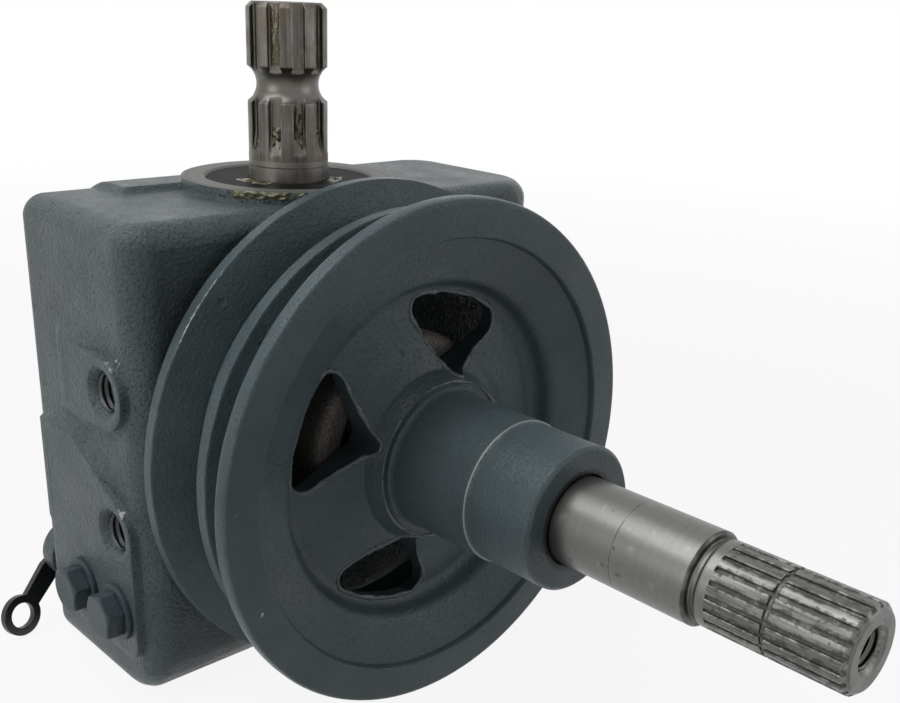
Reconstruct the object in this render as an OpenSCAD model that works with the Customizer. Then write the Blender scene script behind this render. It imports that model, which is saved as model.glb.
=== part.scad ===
// Right angle bevel gearbox for a mower deck.
// The splined input shaft stands up (+Z) and the output shaft points to the front (-Y).
// The output shaft carries a cast two groove belt pulley and ends in a splined stub.
// The origin is on the case's base, right below the point where the two shaft axes cross.

/* [Case] */
// Height of the crossing of the shaft axes above the base
axis_h = 78.5; // [78.5:0.5:86]
// Distance from the input axis to the left wall's outer face
case_left = 76.4; // [76:0.2:90]
// Distance from the input axis to the right wall's outer face
case_right = 86; // [84:1:96]
// Distance from the input axis to the front and to the back face
case_half_depth = 34; // [34:0.5:38]
// Height of the cast top face above the axis crossing
case_top = 70; // [69:0.5:76]
// Radius of the case's outer edges
case_edge_r = 7; // [5:0.5:8]
// Radius of the front left corner, seen from above
front_left_r = 9; // [8:0.5:10]
// Radius of the front right corner, seen from above
front_right_r = 18; // [10:0.5:18]
// Radius of the back right corner, seen from above
back_right_r = 15; // [10:0.5:18]
// Radius of the edge between the front face and the base
base_front_r = 18; // [8:0.5:18]
// Thickness of the side, top and bottom walls
case_wall = 6; // [5:0.5:7]
// Thickness of the front wall
front_wall = 5.5; // [5:0.25:5.75]
// Thickness of the back wall, which takes the cover's bolts
back_wall = 10; // [9:0.5:11]
// Outer radius of the bearing snout that reaches into the pulley
snout_r = 35; // [32:0.5:37]

/* [Top ring and raised land] */
// Outer radius of the machined ring round the input seal
ring_r = 33.9; // [31:0.1:33.9]
// Height of the machined ring above the cast top face
ring_rise = 3.5; // [2.5:0.25:4]
// Height of the raised land at the back of the top face
land_rise = 1.7; // [1:0.1:2.4]
// Distance that the raised land reaches to the left of the input axis
land_reach = 50; // [36:1:56]
// Depth of the raised land from the back face
land_depth = 22; // [16:1:26]

/* [Side pads and threaded holes] */
// Height of the side pads above the wall
pad_rise = 2; // [0.5:0.1:2.5]
// Radius of the rounded pad round a threaded hole
pad_r = 11; // [9.5:0.25:11]
// Distance of the side holes in front of the input axis
side_hole_front = 17.5; // [15:0.5:18]
// Height of the upper side hole above the axis crossing
side_hole_up = 20.8; // [16:0.2:24]
// Distance of the lower side hole below the axis crossing
side_hole_down = 23.4; // [20:0.2:25]
// Tapping radius of the M14 side holes
side_thread_r = 6; // [4:0.25:6]
// Depth of the side holes
side_hole_depth = 22; // [16:1:24]
// Radius of the countersink at the mouth of a side hole
side_sink_r = 8; // [7:0.25:8.5]

/* [Input shaft] */
// Radius of the input shaft at its seal, its bearings and its spline
input_r = 12.5; // [12.5:0.1:12.6]
// Height of the input shaft's end above the axis crossing
input_end = 125.6; // [120:0.2:140]
// Number of teeth of the input spline
input_teeth = 10; // [8:1:12]
// Radius at the bottom of the gaps of the input spline
input_root_r = 10.6; // [10:0.1:11.2]
// Width of a gap of the input spline
input_gap_w = 3.9; // [2.8:0.1:4]
// Height where the spline runs out, above the axis crossing
input_runout = 79.5; // [78:0.5:84]
// Height of the middle of the locking groove above the axis crossing
lock_z = 101.8; // [98:0.2:106]
// Width of the locking groove
lock_w = 10.6; // [8:0.2:12]
// Radius at the bottom of the locking groove
lock_r = 9.6; // [9:0.1:10.4]

/* [Output shaft] */
// Radius of the output shaft at its front bearing, hub and journal
output_r = 12.5; // [12.5:0.1:12.6]
// Distance from the input axis to the shoulder before the output spline
shoulder_y = 172.5; // [160:0.5:185]
// Distance from the input axis to the end of the output shaft
output_end = 214; // [205:1:225]
// Number of teeth of the output spline
output_teeth = 20; // [16:1:22]
// Outer radius of the output spline
output_spline_r = 11.3; // [10.8:0.1:11.4]
// Depth of the gaps of the output spline
output_gap_d = 0.9; // [0.6:0.1:1.2]
// Width of a gap of the output spline
output_gap_w = 1.15; // [0.8:0.05:1.4]
// Tapping radius of the M12 hole in the shaft's end
end_thread_r = 5.1; // [3.4:0.1:5.5]
// Depth of the hole in the shaft's end
end_thread_depth = 28; // [20:1:34]

/* [Pulley] */
// Outer radius of the pulley's front and rear rims
pulley_r = 78; // [76:0.5:78]
// Distance from the input axis to the pulley's front face
pulley_front = 78.8; // [78.8:0.1:80]
// Overall width of the rim
rim_w = 40.8; // [40:0.2:41.5]
// Width of the outer rims' lands
land_w = 4.4; // [3.6:0.1:4.8]
// Width of the land between the two grooves
mid_land_w = 4; // [3:0.1:4.4]
// How much lower the land between the two grooves is than the rims
mid_land_drop = 5.7; // [4:0.1:7]
// Depth of the belt grooves below the rims
groove_depth = 12.5; // [11:0.25:13.5]
// Half of the included angle of a belt groove
groove_half_angle = 18; // [16:0.5:19]
// Width of the flat front face
face_w = 11; // [9:0.25:12]
// Outer radius of the windows
window_r = 49; // [44:0.25:50]
// Inner radius of the windows
window_in_r = 25; // [24:0.25:30]
// Thickness of the web at the windows
web_t = 4.6; // [4:0.1:4.8]
// Distance from the input axis to the hub's front end
hub_front = 130; // [120:1:140]
// Radius of the hub's front part
hub_r = 20.6; // [18:0.1:21]
// Width of the ring at the hub's foot
hub_ring_w = 2.2; // [1.5:0.1:2.4]
// Length of the hub's slimmer front part
hub_step_len = 23; // [16:1:30]

/* [Bevel gears] */
// Tooth module at the outer end
gear_module = 2.6; // [2.3:0.05:2.6]
// Number of teeth of the gear on the input shaft
pinion_teeth = 20; // [18:1:20]
// Number of teeth of the gear on the output shaft
wheel_teeth = 17; // [16:1:17]
// Length of the teeth along the pitch cone
gear_face = 10; // [8:0.5:10.5]
// Play between the flanks at the outer end
gear_backlash = 0.2; // [0.15:0.01:0.3]

/* [Dipstick] */
// Distance of the dipstick boss to the left of the input axis
stick_x = 66.5; // [65:0.25:67]
// Distance of the dipstick boss below the axis crossing
stick_down = 53; // [52:0.5:56]
// Radius of the dipstick boss
stick_boss_r = 10.5; // [9.5:0.25:11]
// Height of the dipstick boss above the back face
stick_boss_h = 4.5; // [4:0.5:8]
// Length of the dipstick rod below its plug
stick_len = 42; // [30:1:44]
// Outer radius of the pull ring
pull_ring_r = 6.9; // [6:0.1:7.2]
// Radius of the hole in the pull ring
pull_hole_r = 4.3; // [3.6:0.1:4.6]

/* [Bearings and seals] */
// Outer radius of the three large ball bearings
big_out_r = 26; // [25:0.5:26]
// Width of the large ball bearings
big_w = 15; // [13:0.5:15]
// Bore radius of the small ball bearing behind the output shaft
small_in_r = 10; // [9:0.25:10]
// Outer radius of the small ball bearing
small_out_r = 21; // [20:0.5:22]
// Width of the small ball bearing
small_w = 12; // [11:0.5:13]
// Radius of the balls of the large bearings
big_ball_r = 3.95; // [3.4:0.05:3.95]
// Radius of the balls of the small bearing
small_ball_r = 3.15; // [2.8:0.05:3.15]
// Number of balls in each bearing
balls = 9; // [6:1:9]
// Width of the shaft seals
seal_w = 7; // [6:0.5:7]
// Thickness of the retaining rings in the case's bores
bore_clip_t = 1.6; // [1.2:0.1:1.6]

/* [Rear cover and bolts] */
// Half of the width of the opening that the rear cover closes
opening_half_w = 39; // [34:0.5:41]
// Depth of the opening's lower edge below the axis crossing
opening_down = 50; // [46:0.5:52]
// Width of the cover's rim round the opening
cover_rim = 15; // [14:0.5:16]
// Thickness of the rear cover
cover_t = 8; // [7:0.5:10]
// Thickness of the cover's gasket
gasket_t = 0.4; // [0.3:0.1:1]
// Radius of the bolts' shanks
bolt_r = 4; // [3.5:0.25:4]
// Width across the flats of the bolts' heads
bolt_flats = 13; // [12:0.5:14]
// Height of the bolts' heads
bolt_head_h = 5.5; // [4.5:0.25:6.5]
// Distance of the two side bolts below the axis crossing
side_bolt_down = 49.5; // [47:0.5:51]
// Distance of the rear side bolt behind the input axis
side_bolt_back = 4; // [3.5:0.5:8]
// Radius of the side bolts' washers
washer_r = 9; // [8.5:0.25:10]
// Thickness of the side bolts' washers
washer_t = 1.6; // [1:0.1:2.2]

/* [Hidden] */
$fn = 96;

// Radial gap of a ring that is pressed or slid to its seat
fit_gap = 0.02;
// Radial gap of parts that run on each other
run_gap = 0.05;
// Gap between a ball and the holes of its cage
cage_gap = 0.15;
// Length by which a cut runs past a face
over = 1;
// Length by which a boss reaches into the wall that it stands on
root = 3;
// Length by which a side pad reaches into its wall, past the round corners
pad_root = 7;
// Distances that the land's back face stays in from the case's and its right end from the axis
land_in = 0.4;
land_right = 12;

// The bevel gears' pitch radii, cone distance and cone angles
pinion_r = gear_module * pinion_teeth / 2;
wheel_r = gear_module * wheel_teeth / 2;
cone_dist = sqrt(pinion_r * pinion_r + wheel_r * wheel_r);
pinion_cone = atan(pinion_r / wheel_r);
wheel_cone = 90 - pinion_cone;
pressure_angle = 20;
addendum = gear_module;
dedendum = 1.25 * gear_module;
flank_steps = 6;
// Distance from a gear's pitch plane to the bearing behind its hub
pinion_back = 9.5;
wheel_back = 10;
gear_hub_r = 17;

// Heights along the input axis, counted up from the axis crossing
ring_top = case_top + ring_rise;
input_seal_z = ring_top - 0.5 - seal_w;
input_clip_z = input_seal_z - 0.2 - bore_clip_t;
upper_bearing_z = input_clip_z - 0.1 - big_w;
lower_bearing_z = wheel_r + pinion_back;
lip_t = 1.5;
neck_bottom = lower_bearing_z - lip_t;
neck_r = case_half_depth - 1.5;
input_seat_r = input_r - 1;
gear_clip_t = 1.2;
input_gear_z = 17.6;
input_low_end = input_gear_z - gear_clip_t - 1.4;

// Distances along the output axis, counted to the front from the axis crossing
front_bearing_y = pinion_r + wheel_back;
output_clip_y = front_bearing_y + big_w + 0.1;
output_seal_y = output_clip_y + bore_clip_t + 0.2;
snout_end = output_seal_y + seal_w + 0.4;
wheel_seat_r = output_r - 0.5;
output_mid_r = output_r - 1;
wheel_seat_start = 14;
output_gear_z = 18.6;
rear_bearing_y = -(case_half_depth - 5);
rear_clip_t = 1.2;
rear_end_y = rear_bearing_y - small_w - rear_clip_t - 0.9;
web_front = pulley_front - 12.8;
web_back = web_front - web_t;
hub_sleeve_r = 17.5;
hub_ring_y = pulley_front - 1.7;
pulley_back = pulley_front - rim_w;
pulley_mid = pulley_front - rim_w / 2;
groove_bottom_r = pulley_r - groove_depth;
mid_land_r = pulley_r - mid_land_drop;
front_face_r = pulley_r - face_w;
hub_ring_in_r = hub_r + 1.4;
hub_ring_out_r = hub_ring_in_r + hub_ring_w;
// Distances that the groove's flanks lean over, from the bottom to the rims and to the middle land
groove_lean = groove_depth * tan(groove_half_angle);
mid_lean = (mid_land_r - groove_bottom_r) * tan(groove_half_angle);
rim_in_r = groove_bottom_r - 5.5;
rim_edge = 0.8;
face_step = 1.8;
pulley_facets = 180;
hub_recess = 8;
// The cast windows' angles, which aren't spaced quite evenly
window_angles = [74, 159.5, 249.5, 336];

// The bearings' pitch radii and the rims beside their ball tracks
big_pitch_r = (input_r + big_out_r) / 2;
small_pitch_r = (small_in_r + small_out_r) / 2;
lip_r = big_out_r - 4;
bore_clip_depth = 1.5;

// The cover's outline and its bolts' places, as x and height from the crossing
opening_top = neck_bottom - 1;
cover_x = opening_half_w + cover_rim;
cover_top = opening_top + cover_rim;
cover_low = -opening_down - cover_rim;
cover_bolt_x = opening_half_w + cover_rim / 2;
cover_bolt_z = [
    opening_top + cover_rim / 2,
    (opening_top - opening_down) / 2,
    -opening_down - cover_rim / 2
];
cover_face = case_half_depth + gasket_t + cover_t;
cover_boss_r = small_out_r + 6;
cover_boss_end = -rear_end_y + 5;
cover_corner_r = 9;
bolt_shank_gap = 0.05;
bolt_hole_r = bolt_r + 0.4;

// The dipstick's hole and rod, and half of the width of its strap
stick_hole_r = 6;
stick_rod_r = 1.4;
strap_half_w = 3.6;
// The plug's cap, length and sealing groove, and where the rod starts in it
plug_cap_t = 2.5;
plug_len = 13;
ring_groove_r = 4.1;
ring_z = 8.1;
rod_from = 5.2;

// The key sections and places
key_w = 6;
key_up = 2.6;
key_down = 3.4;
pulley_key_w = 8;
pulley_key_from = 66;
pulley_key_len = 40;

// Moves its children to the crossing of the shaft axes
module at_crossing() {
    translate([0, 0, axis_h]) children();
}

// Turns its children's +Z to the front, so that it runs along the output shaft
module to_front() {
    at_crossing() rotate([90, 0, 0]) children();
}

// Turns its children's +X to the front and their +Z out of the left wall
module on_left() {
    at_crossing() rotate([90, 0, -90]) children();
}

// A ring of square section, from radius a to radius b and from height z to z + h
module tube(a, b, z, h) {
    translate([0, 0, z]) difference() {
        cylinder(r = b, h = h);
        translate([0, 0, -over]) cylinder(r = a, h = h + 2 * over);
    }
}

// A rectangle with round corners
module round_rect(x0, x1, y0, y1, r) {
    translate([x0 + r, y0]) square([x1 - x0 - 2 * r, y1 - y0]);
    translate([x0, y0 + r]) square([x1 - x0, y1 - y0 - 2 * r]);
    for (x = [x0 + r, x1 - r], y = [y0 + r, y1 - r]) translate([x, y]) circle(r = r);
}

// A rectangle as [x0, y0, x1, y1] with four corner radii, counted from the lower left
module corner_rect(box, radii) {
    least = 0.2;
    hull() {
        for (k = [0 : 3]) let (
            r = max(radii[k], least),
            x = (k == 0 || k == 3) ? box[0] + r : box[2] - r,
            y = k < 2 ? box[1] + r : box[3] - r
        ) translate([x, y]) circle(r = r, $fn = 24);
    }
}

// A box of the case's outline, made smaller by d, as plan and side view cross it
module case_block(d) {
    front = case_half_depth - d;
    intersection() {
        translate([0, 0, -axis_h]) linear_extrude(axis_h + case_top) corner_rect(
            [d - case_left, -front, case_right - d, front],
            [front_left_r - d, front_right_r - d, back_right_r - d, 0]
        );
        translate([-case_left, 0, 0]) rotate([90, 0, 90]) linear_extrude(case_left + case_right) corner_rect(
            [-front, d - axis_h, front, case_top - d],
            [base_front_r - d, 0, 0, 0]
        );
    }
}

// The case's outer shape with all its edges round
module round_case() {
    facets = 40;
    minkowski() {
        case_block(case_edge_r);
        sphere(r = case_edge_r / cos(180 / facets), $fn = facets);
    }
}

// The raised land at the back of the case's top face, with sloped ends
module raised_land() {
    back = case_half_depth - land_in;
    top = case_top + land_rise;
    low = case_top - 2 * case_edge_r;
    slope = land_rise + 1;
    intersection() {
        translate([-case_left, 0, 0]) rotate([90, 0, 90]) linear_extrude(case_left + case_right) union() {
            polygon([
                [case_half_depth - land_depth, low], [back, low], [back, top - case_edge_r],
                [back - case_edge_r, top], [case_half_depth - land_depth + slope, top],
                [case_half_depth - land_depth, top - slope]
            ]);
            translate([back - case_edge_r, top - case_edge_r]) circle(r = case_edge_r);
        }
        translate([0, case_half_depth, 0]) rotate([90, 0, 0]) linear_extrude(2 * case_half_depth) polygon([
            [-land_reach - slope, low], [land_right, low], [land_right, top - 1], [land_right - 1, top],
            [-land_reach, top], [-land_reach - slope, top - slope]
        ]);
    }
}

// The hollow of the case, with cut corners where the case's own are round
module case_hollow() {
    left = case_wall - case_left;
    right = case_right - case_wall;
    front = front_wall - case_half_depth;
    back = case_half_depth - back_wall;
    low = case_wall - axis_h;
    high = case_top - case_wall;
    fl = 0.6 * (front_left_r - front_wall);
    fr = 0.6 * (front_right_r - front_wall);
    br = 0.6 * max(back_right_r - case_wall, 0.1);
    bf = 0.6 * (base_front_r - front_wall);
    intersection() {
        translate([0, 0, low]) linear_extrude(high - low) polygon([
            [left, front + fl], [left + fl, front], [right - fr, front], [right, front + fr],
            [right, back - br], [right - br, back], [left, back]
        ]);
        translate([left - over, 0, 0]) rotate([90, 0, 90]) linear_extrude(right - left + 2 * over) polygon([
            [front, low + bf], [front + bf, low], [back, low], [back, high], [front, high]
        ]);
    }
}

// The outline of the pad round the upper side hole
module upper_pad_outline() {
    translate([side_hole_front, side_hole_up]) circle(r = pad_r);
    translate([-8, side_hole_up - pad_r]) square([side_hole_front + 8, 2 * pad_r]);
}

// The outline of the long lower pad, which carries the lower hole and the two bolts
module lower_pad_outline() {
    low = -axis_h + 15;
    back = -case_half_depth + case_edge_r + 2;
    front = side_hole_front + pad_r;
    corner = 6;
    translate([side_hole_front, -side_hole_down]) circle(r = pad_r);
    translate([back, low]) square([front - back - corner, -side_hole_down - low]);
    translate([back, low + corner]) square([front - back, -side_hole_down - low - corner]);
    translate([front - corner, low + corner]) circle(r = corner);
    polygon([
        [back, -side_hole_down],
        [side_hole_front, -side_hole_down],
        [side_hole_front + pad_r * sin(35), -side_hole_down + pad_r * cos(35)],
        [-4, 1],
        [back, 1]
    ]);
}

// Both side pads of one wall, as tall as pad_rise over the wall at distance d
module side_pads(d) {
    translate([0, 0, d - pad_root]) linear_extrude(pad_root + pad_rise) {
        upper_pad_outline();
        lower_pad_outline();
    }
}

// The bosses behind the side holes, inside the wall at distance d
module side_hole_bosses(d) {
    for (v = [side_hole_up, -side_hole_down])
        translate([side_hole_front, v, d - side_hole_depth - 4])
            cylinder(r = side_thread_r + 4, h = side_hole_depth);
}

// The tapped holes of one wall with their countersinks
module side_holes(d) {
    face = d + pad_rise;
    for (v = [side_hole_up, -side_hole_down]) translate([side_hole_front, v, 0]) {
        translate([0, 0, face - side_hole_depth]) cylinder(r = side_thread_r, h = side_hole_depth + over);
        translate([0, 0, face - (side_sink_r - side_thread_r)])
            cylinder(r1 = side_thread_r, r2 = side_sink_r, h = side_sink_r - side_thread_r);
    }
}

// The places of the two side bolts on the left wall
module side_bolt_places() {
    for (u = [side_hole_front, -side_bolt_back])
        translate([u, -side_bolt_down, case_left + pad_rise]) children();
}

// A bearing snout with a round front edge, from distance a to distance b
module snout(r, a, b, edge) {
    translate([0, 0, a]) rotate_extrude() {
        square([r, b - a - edge]);
        square([r - edge, b - a]);
        translate([r - edge, b - a - edge]) circle(r = edge);
    }
}

// The bore of a bearing seat, with a lip below it and a groove for the retaining ring
module bearing_bore(seat, clip, mouth) {
    translate([0, 0, seat]) cylinder(r = big_out_r, h = mouth - seat + over);
    translate([0, 0, seat - lip_t - over]) cylinder(r = lip_r, h = lip_t + 2 * over);
    translate([0, 0, clip - 0.1]) cylinder(r = big_out_r + bore_clip_depth, h = bore_clip_t + 0.2);
    translate([0, 0, mouth - 1]) cylinder(r1 = big_out_r, r2 = big_out_r + 1, h = 1);
}

// The cast iron case: a hollow box, open at the back, with its bosses and pads
module gear_case() color("slategray") difference() {
    union() {
        difference() {
            union() {
                at_crossing() round_case();
                at_crossing() raised_land();
                at_crossing() translate([0, 0, case_top - root]) cylinder(r = ring_r, h = ring_rise + root);
                to_front() snout(snout_r, case_half_depth - root, snout_end, 4);
                on_left() side_pads(case_left);
                mirror([1, 0, 0]) on_left() side_pads(case_right);
                at_dipstick() cylinder(r = stick_boss_r, h = stick_boss_h + root);
            }
            at_crossing() case_hollow();
            at_crossing() translate([-opening_half_w, 0, -opening_down])
                cube([2 * opening_half_w, case_half_depth + over, opening_top + opening_down]);
        }
        at_crossing() translate([0, 0, neck_bottom]) cylinder(r = neck_r, h = case_top - neck_bottom);
        on_left() side_hole_bosses(case_left);
        mirror([1, 0, 0]) on_left() side_hole_bosses(case_right);
    }
    at_crossing() bearing_bore(lower_bearing_z, input_clip_z, ring_top);
    to_front() bearing_bore(front_bearing_y, output_clip_y, snout_end);
    to_front() translate([0, 0, case_half_depth - front_wall - over])
        cylinder(r = big_out_r - 0.5, h = front_bearing_y - lip_t - case_half_depth + front_wall + over);
    on_left() side_holes(case_left);
    mirror([1, 0, 0]) on_left() side_holes(case_right);
    on_left() side_bolt_places() translate([0, 0, -case_wall - pad_rise - over])
        cylinder(r = bolt_r, h = case_wall + pad_rise + 2 * over);
    at_crossing() for (x = [-cover_bolt_x, cover_bolt_x], z = cover_bolt_z)
        translate([x, case_half_depth + over, z])
            rotate([90, 0, 0]) cylinder(r = bolt_r, h = back_wall + 2 * over);
    at_dipstick() translate([0, 0, -over]) cylinder(r = stick_hole_r, h = stick_boss_h + back_wall + 2 * over);
}

// The outline of the rear cover and its gasket, seen from the front
module cover_outline() {
    round_rect(-cover_x, cover_x, cover_low, cover_top, cover_corner_r);
}

// The bolts' clearance holes through the cover and gasket
module cover_bolt_holes() {
    for (x = [-cover_bolt_x, cover_bolt_x], z = cover_bolt_z)
        translate([x, z, -cover_face - over]) cylinder(r = bolt_hole_r, h = cover_t + gasket_t + 2 * over);
}

// The cast rear cover with the seat of the small bearing
module rear_cover() color("slategray") to_front() difference() {
    union() {
        translate([0, 0, -cover_face]) linear_extrude(cover_t) cover_outline();
        translate([0, 0, -cover_boss_end]) rotate_extrude() {
            height = cover_boss_end + rear_bearing_y + 0.2;
            translate([0, 3]) square([cover_boss_r, height - 3]);
            square([cover_boss_r - 3, height]);
            translate([cover_boss_r - 3, 3]) circle(r = 3);
        }
        for (a = [45 : 90 : 315]) rotate([0, 0, a]) translate([cover_boss_r - 2, -2.5, -cover_face - 3])
            cube([9, 5, 4]);
    }
    translate([0, 0, rear_bearing_y - small_w]) cylinder(r = small_out_r, h = small_w + 5);
    translate([0, 0, rear_end_y - 1]) cylinder(r = small_out_r - 4, h = 10);
    cover_bolt_holes();
}

// The gasket between the case and the rear cover
module cover_gasket() color("dimgray") to_front() difference() {
    translate([0, 0, -case_half_depth - gasket_t]) linear_extrude(gasket_t) difference() {
        cover_outline();
        translate([-opening_half_w, -opening_down]) square([2 * opening_half_w, opening_down + opening_top]);
    }
    cover_bolt_holes();
}

// A hexagon bolt: its head's seat lies at height 0 and its shank points down
module hex_bolt(len) {
    corner_r = bolt_flats / sqrt(3);
    translate([0, 0, -len]) cylinder(r = bolt_r - bolt_shank_gap, h = len + 0.5);
    intersection() {
        cylinder(r = corner_r, h = bolt_head_h, $fn = 6);
        cylinder(r1 = corner_r + bolt_head_h * 2 - 1.2, r2 = corner_r - 1.2, h = bolt_head_h);
    }
}

// The six bolts that hold the rear cover
module cover_bolts() color("dimgray") at_crossing() for (x = [-cover_bolt_x, cover_bolt_x], z = cover_bolt_z)
    translate([x, cover_face, z]) rotate([-90, 0, 0]) hex_bolt(cover_t + gasket_t + back_wall - 1);

// The two hexagon bolts that close the case's lower left side
module side_bolts() color("slategray") on_left() side_bolt_places()
    translate([0, 0, washer_t]) rotate([0, 0, 18]) hex_bolt(washer_t + case_wall);

// The washers under the two side bolts
module side_washers() color("slategray") on_left() side_bolt_places()
    tube(bolt_r + 0.1, washer_r, 0, washer_t);

// A shaft seal: a stiff ring with a lip that runs on the shaft of radius r, outside face up
module shaft_seal(r, z) {
    out = big_out_r - fit_gap;
    lip = r + run_gap;
    translate([0, 0, z]) rotate_extrude() polygon([
        [out, 0], [out, seal_w], [lip + 3, seal_w], [lip + 0.8, seal_w - 0.1], [lip, seal_w - 0.6],
        [lip + 0.9, seal_w - 1.4], [lip + 1.6, seal_w - 2.4], [lip, seal_w - 4], [lip + 0.3, seal_w - 5],
        [lip + 2.6, seal_w - 5.8], [lip + 3.2, seal_w - 5.4], [lip + 3, seal_w - 2.8],
        [lip + 4.2, seal_w - 1.6], [out - 2, seal_w - 1.6], [out - 2, 0]
    ]);
}

// The seal round the input shaft
module input_seal() color("black") at_crossing() shaft_seal(input_r, input_seal_z);

// The seal round the sleeve of the pulley's hub
module output_seal() color("black") to_front() shaft_seal(hub_sleeve_r, output_seal_y);

// A retaining ring with a gap, in a groove of a bore of the large bearings' size
module bore_clip(z) {
    translate([0, 0, z]) rotate([0, 0, 100]) rotate_extrude(angle = 335)
        translate([big_out_r - 2.2, 0]) square([2.2 + bore_clip_depth - 0.2, bore_clip_t]);
}

// The retaining ring over the input shaft's upper bearing
module input_bore_clip() color("silver") at_crossing() bore_clip(input_clip_z);

// The retaining ring before the output shaft's front bearing
module output_bore_clip() color("silver") to_front() bore_clip(output_clip_y);

// The inner race of a ball bearing
module inner_race(bore, pitch, ball, w) {
    rotate_extrude() difference() {
        translate([bore + fit_gap, 0]) square([pitch - 0.6 * ball - bore - fit_gap, w]);
        translate([pitch, w / 2]) circle(r = ball + run_gap);
    }
}

// The outer race of a ball bearing
module outer_race(out, pitch, ball, w) {
    rotate_extrude() difference() {
        translate([pitch + 0.6 * ball, 0]) square([out - fit_gap - pitch - 0.6 * ball, w]);
        translate([pitch, w / 2]) circle(r = ball + run_gap);
    }
}

// The balls of a ball bearing
module ball_set(pitch, ball, w) {
    for (i = [0 : balls - 1]) rotate([0, 0, i * 360 / balls]) translate([pitch, 0, w / 2]) sphere(r = ball);
}

// The cage that spaces the balls of a ball bearing
module ball_cage(pitch, ball, w) {
    difference() {
        tube(pitch - 1, pitch + 1, 2, w - 4);
        for (i = [0 : balls - 1]) rotate([0, 0, i * 360 / balls]) translate([pitch - 2, 0, w / 2])
            rotate([0, 90, 0]) cylinder(r = ball + cage_gap, h = 4);
    }
}

// The heights of the input shaft's two bearings
module input_bearing_places() {
    at_crossing() for (z = [lower_bearing_z, upper_bearing_z]) translate([0, 0, z]) children();
}

// The outer races of the input shaft's bearings
module input_outer_races() color("silver") input_bearing_places()
    outer_race(big_out_r, big_pitch_r, big_ball_r, big_w);

// The inner races of the input shaft's bearings
module input_inner_races() color("silver") input_bearing_places()
    inner_race(input_r, big_pitch_r, big_ball_r, big_w);

// The balls of the input shaft's bearings
module input_balls() color("gainsboro") input_bearing_places() ball_set(big_pitch_r, big_ball_r, big_w);

// The cages of the input shaft's bearings
module input_ball_cages() color("darkgoldenrod") input_bearing_places()
    ball_cage(big_pitch_r, big_ball_r, big_w);

// The outer race of the output shaft's front bearing
module front_outer_race() color("silver") to_front() translate([0, 0, front_bearing_y])
    outer_race(big_out_r, big_pitch_r, big_ball_r, big_w);

// The inner race of the output shaft's front bearing
module front_inner_race() color("silver") to_front() translate([0, 0, front_bearing_y])
    inner_race(output_r, big_pitch_r, big_ball_r, big_w);

// The balls of the output shaft's front bearing
module front_balls() color("gainsboro") to_front() translate([0, 0, front_bearing_y])
    ball_set(big_pitch_r, big_ball_r, big_w);

// The cage of the output shaft's front bearing
module front_ball_cage() color("darkgoldenrod") to_front() translate([0, 0, front_bearing_y])
    ball_cage(big_pitch_r, big_ball_r, big_w);

// The outer race of the small rear bearing
module rear_outer_race() color("silver") to_front() translate([0, 0, rear_bearing_y - small_w])
    outer_race(small_out_r, small_pitch_r, small_ball_r, small_w);

// The inner race of the small rear bearing
module rear_inner_race() color("silver") to_front() translate([0, 0, rear_bearing_y - small_w])
    inner_race(small_in_r, small_pitch_r, small_ball_r, small_w);

// The balls of the small rear bearing
module rear_balls() color("gainsboro") to_front() translate([0, 0, rear_bearing_y - small_w])
    ball_set(small_pitch_r, small_ball_r, small_w);

// The cage of the small rear bearing
module rear_ball_cage() color("darkgoldenrod") to_front() translate([0, 0, rear_bearing_y - small_w])
    ball_cage(small_pitch_r, small_ball_r, small_w);

// The spacer between the inner races of the input shaft's bearings
module input_spacer() color("silver") at_crossing()
    tube(input_r + fit_gap, input_r + 3, lower_bearing_z + big_w, upper_bearing_z - lower_bearing_z - big_w);

// The cutter of one gap of the input spline: a slot that runs out on an arc
module input_gap() {
    arc_r = 20;
    rise = input_r - input_root_r + 0.6;
    run_len = sqrt(arc_r * arc_r - (arc_r - rise) * (arc_r - rise));
    translate([input_root_r, -input_gap_w / 2, input_runout + run_len])
        cube([6, input_gap_w, input_end - input_runout]);
    translate([input_root_r + arc_r, input_gap_w / 2, input_runout + run_len])
        rotate([90, 0, 0]) cylinder(r = arc_r, h = input_gap_w);
}

// The input shaft with its spline, its locking groove and the seats below
module input_shaft() color("silver") at_crossing() difference() {
    arc_r = (lock_w * lock_w / 4 + (input_r - lock_r) * (input_r - lock_r)) / (2 * (input_r - lock_r));
    rotate_extrude() polygon([
        [0, input_low_end], [input_seat_r - 0.8, input_low_end], [input_seat_r, input_low_end + 0.8],
        [input_seat_r, lower_bearing_z], [input_r, lower_bearing_z],
        [input_r, input_end - 1.6], [input_r - 1.6, input_end], [0, input_end]
    ]);
    for (i = [0 : input_teeth - 1])
        rotate([0, 0, (i + 0.5) * 360 / input_teeth - 127]) input_gap();
    translate([0, 0, lock_z]) rotate_extrude() translate([lock_r + arc_r, 0]) circle(r = arc_r);
    tube(input_seat_r - 0.9, input_seat_r + over, input_gear_z - gear_clip_t, gear_clip_t);
    translate([0, 0, input_gear_z]) key_block(input_seat_r, key_w, pinion_key_len(), 90, 0);
}

// Length of the key in a bevel gear's hub
function pinion_key_len() = lower_bearing_z - input_gear_z - 1;

// A key or its slot: it stands at radius r, turned to angle a, and is grown by g
module key_block(r, w, len, a, g) {
    rotate([0, 0, a]) translate([r - key_down, -w / 2 - g, 0]) cube([key_down + key_up + g, w + 2 * g, len]);
}

// The key of the input shaft's bevel gear
module input_gear_key() color("dimgray") at_crossing()
    translate([0, 0, input_gear_z]) key_block(input_seat_r, key_w, pinion_key_len(), 90, 0);

// The retaining ring under the input shaft's bevel gear
module input_gear_clip() color("silver") at_crossing()
    tube(input_seat_r - 0.9 + fit_gap, input_seat_r + 2.4, input_gear_z - gear_clip_t, gear_clip_t);

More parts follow.
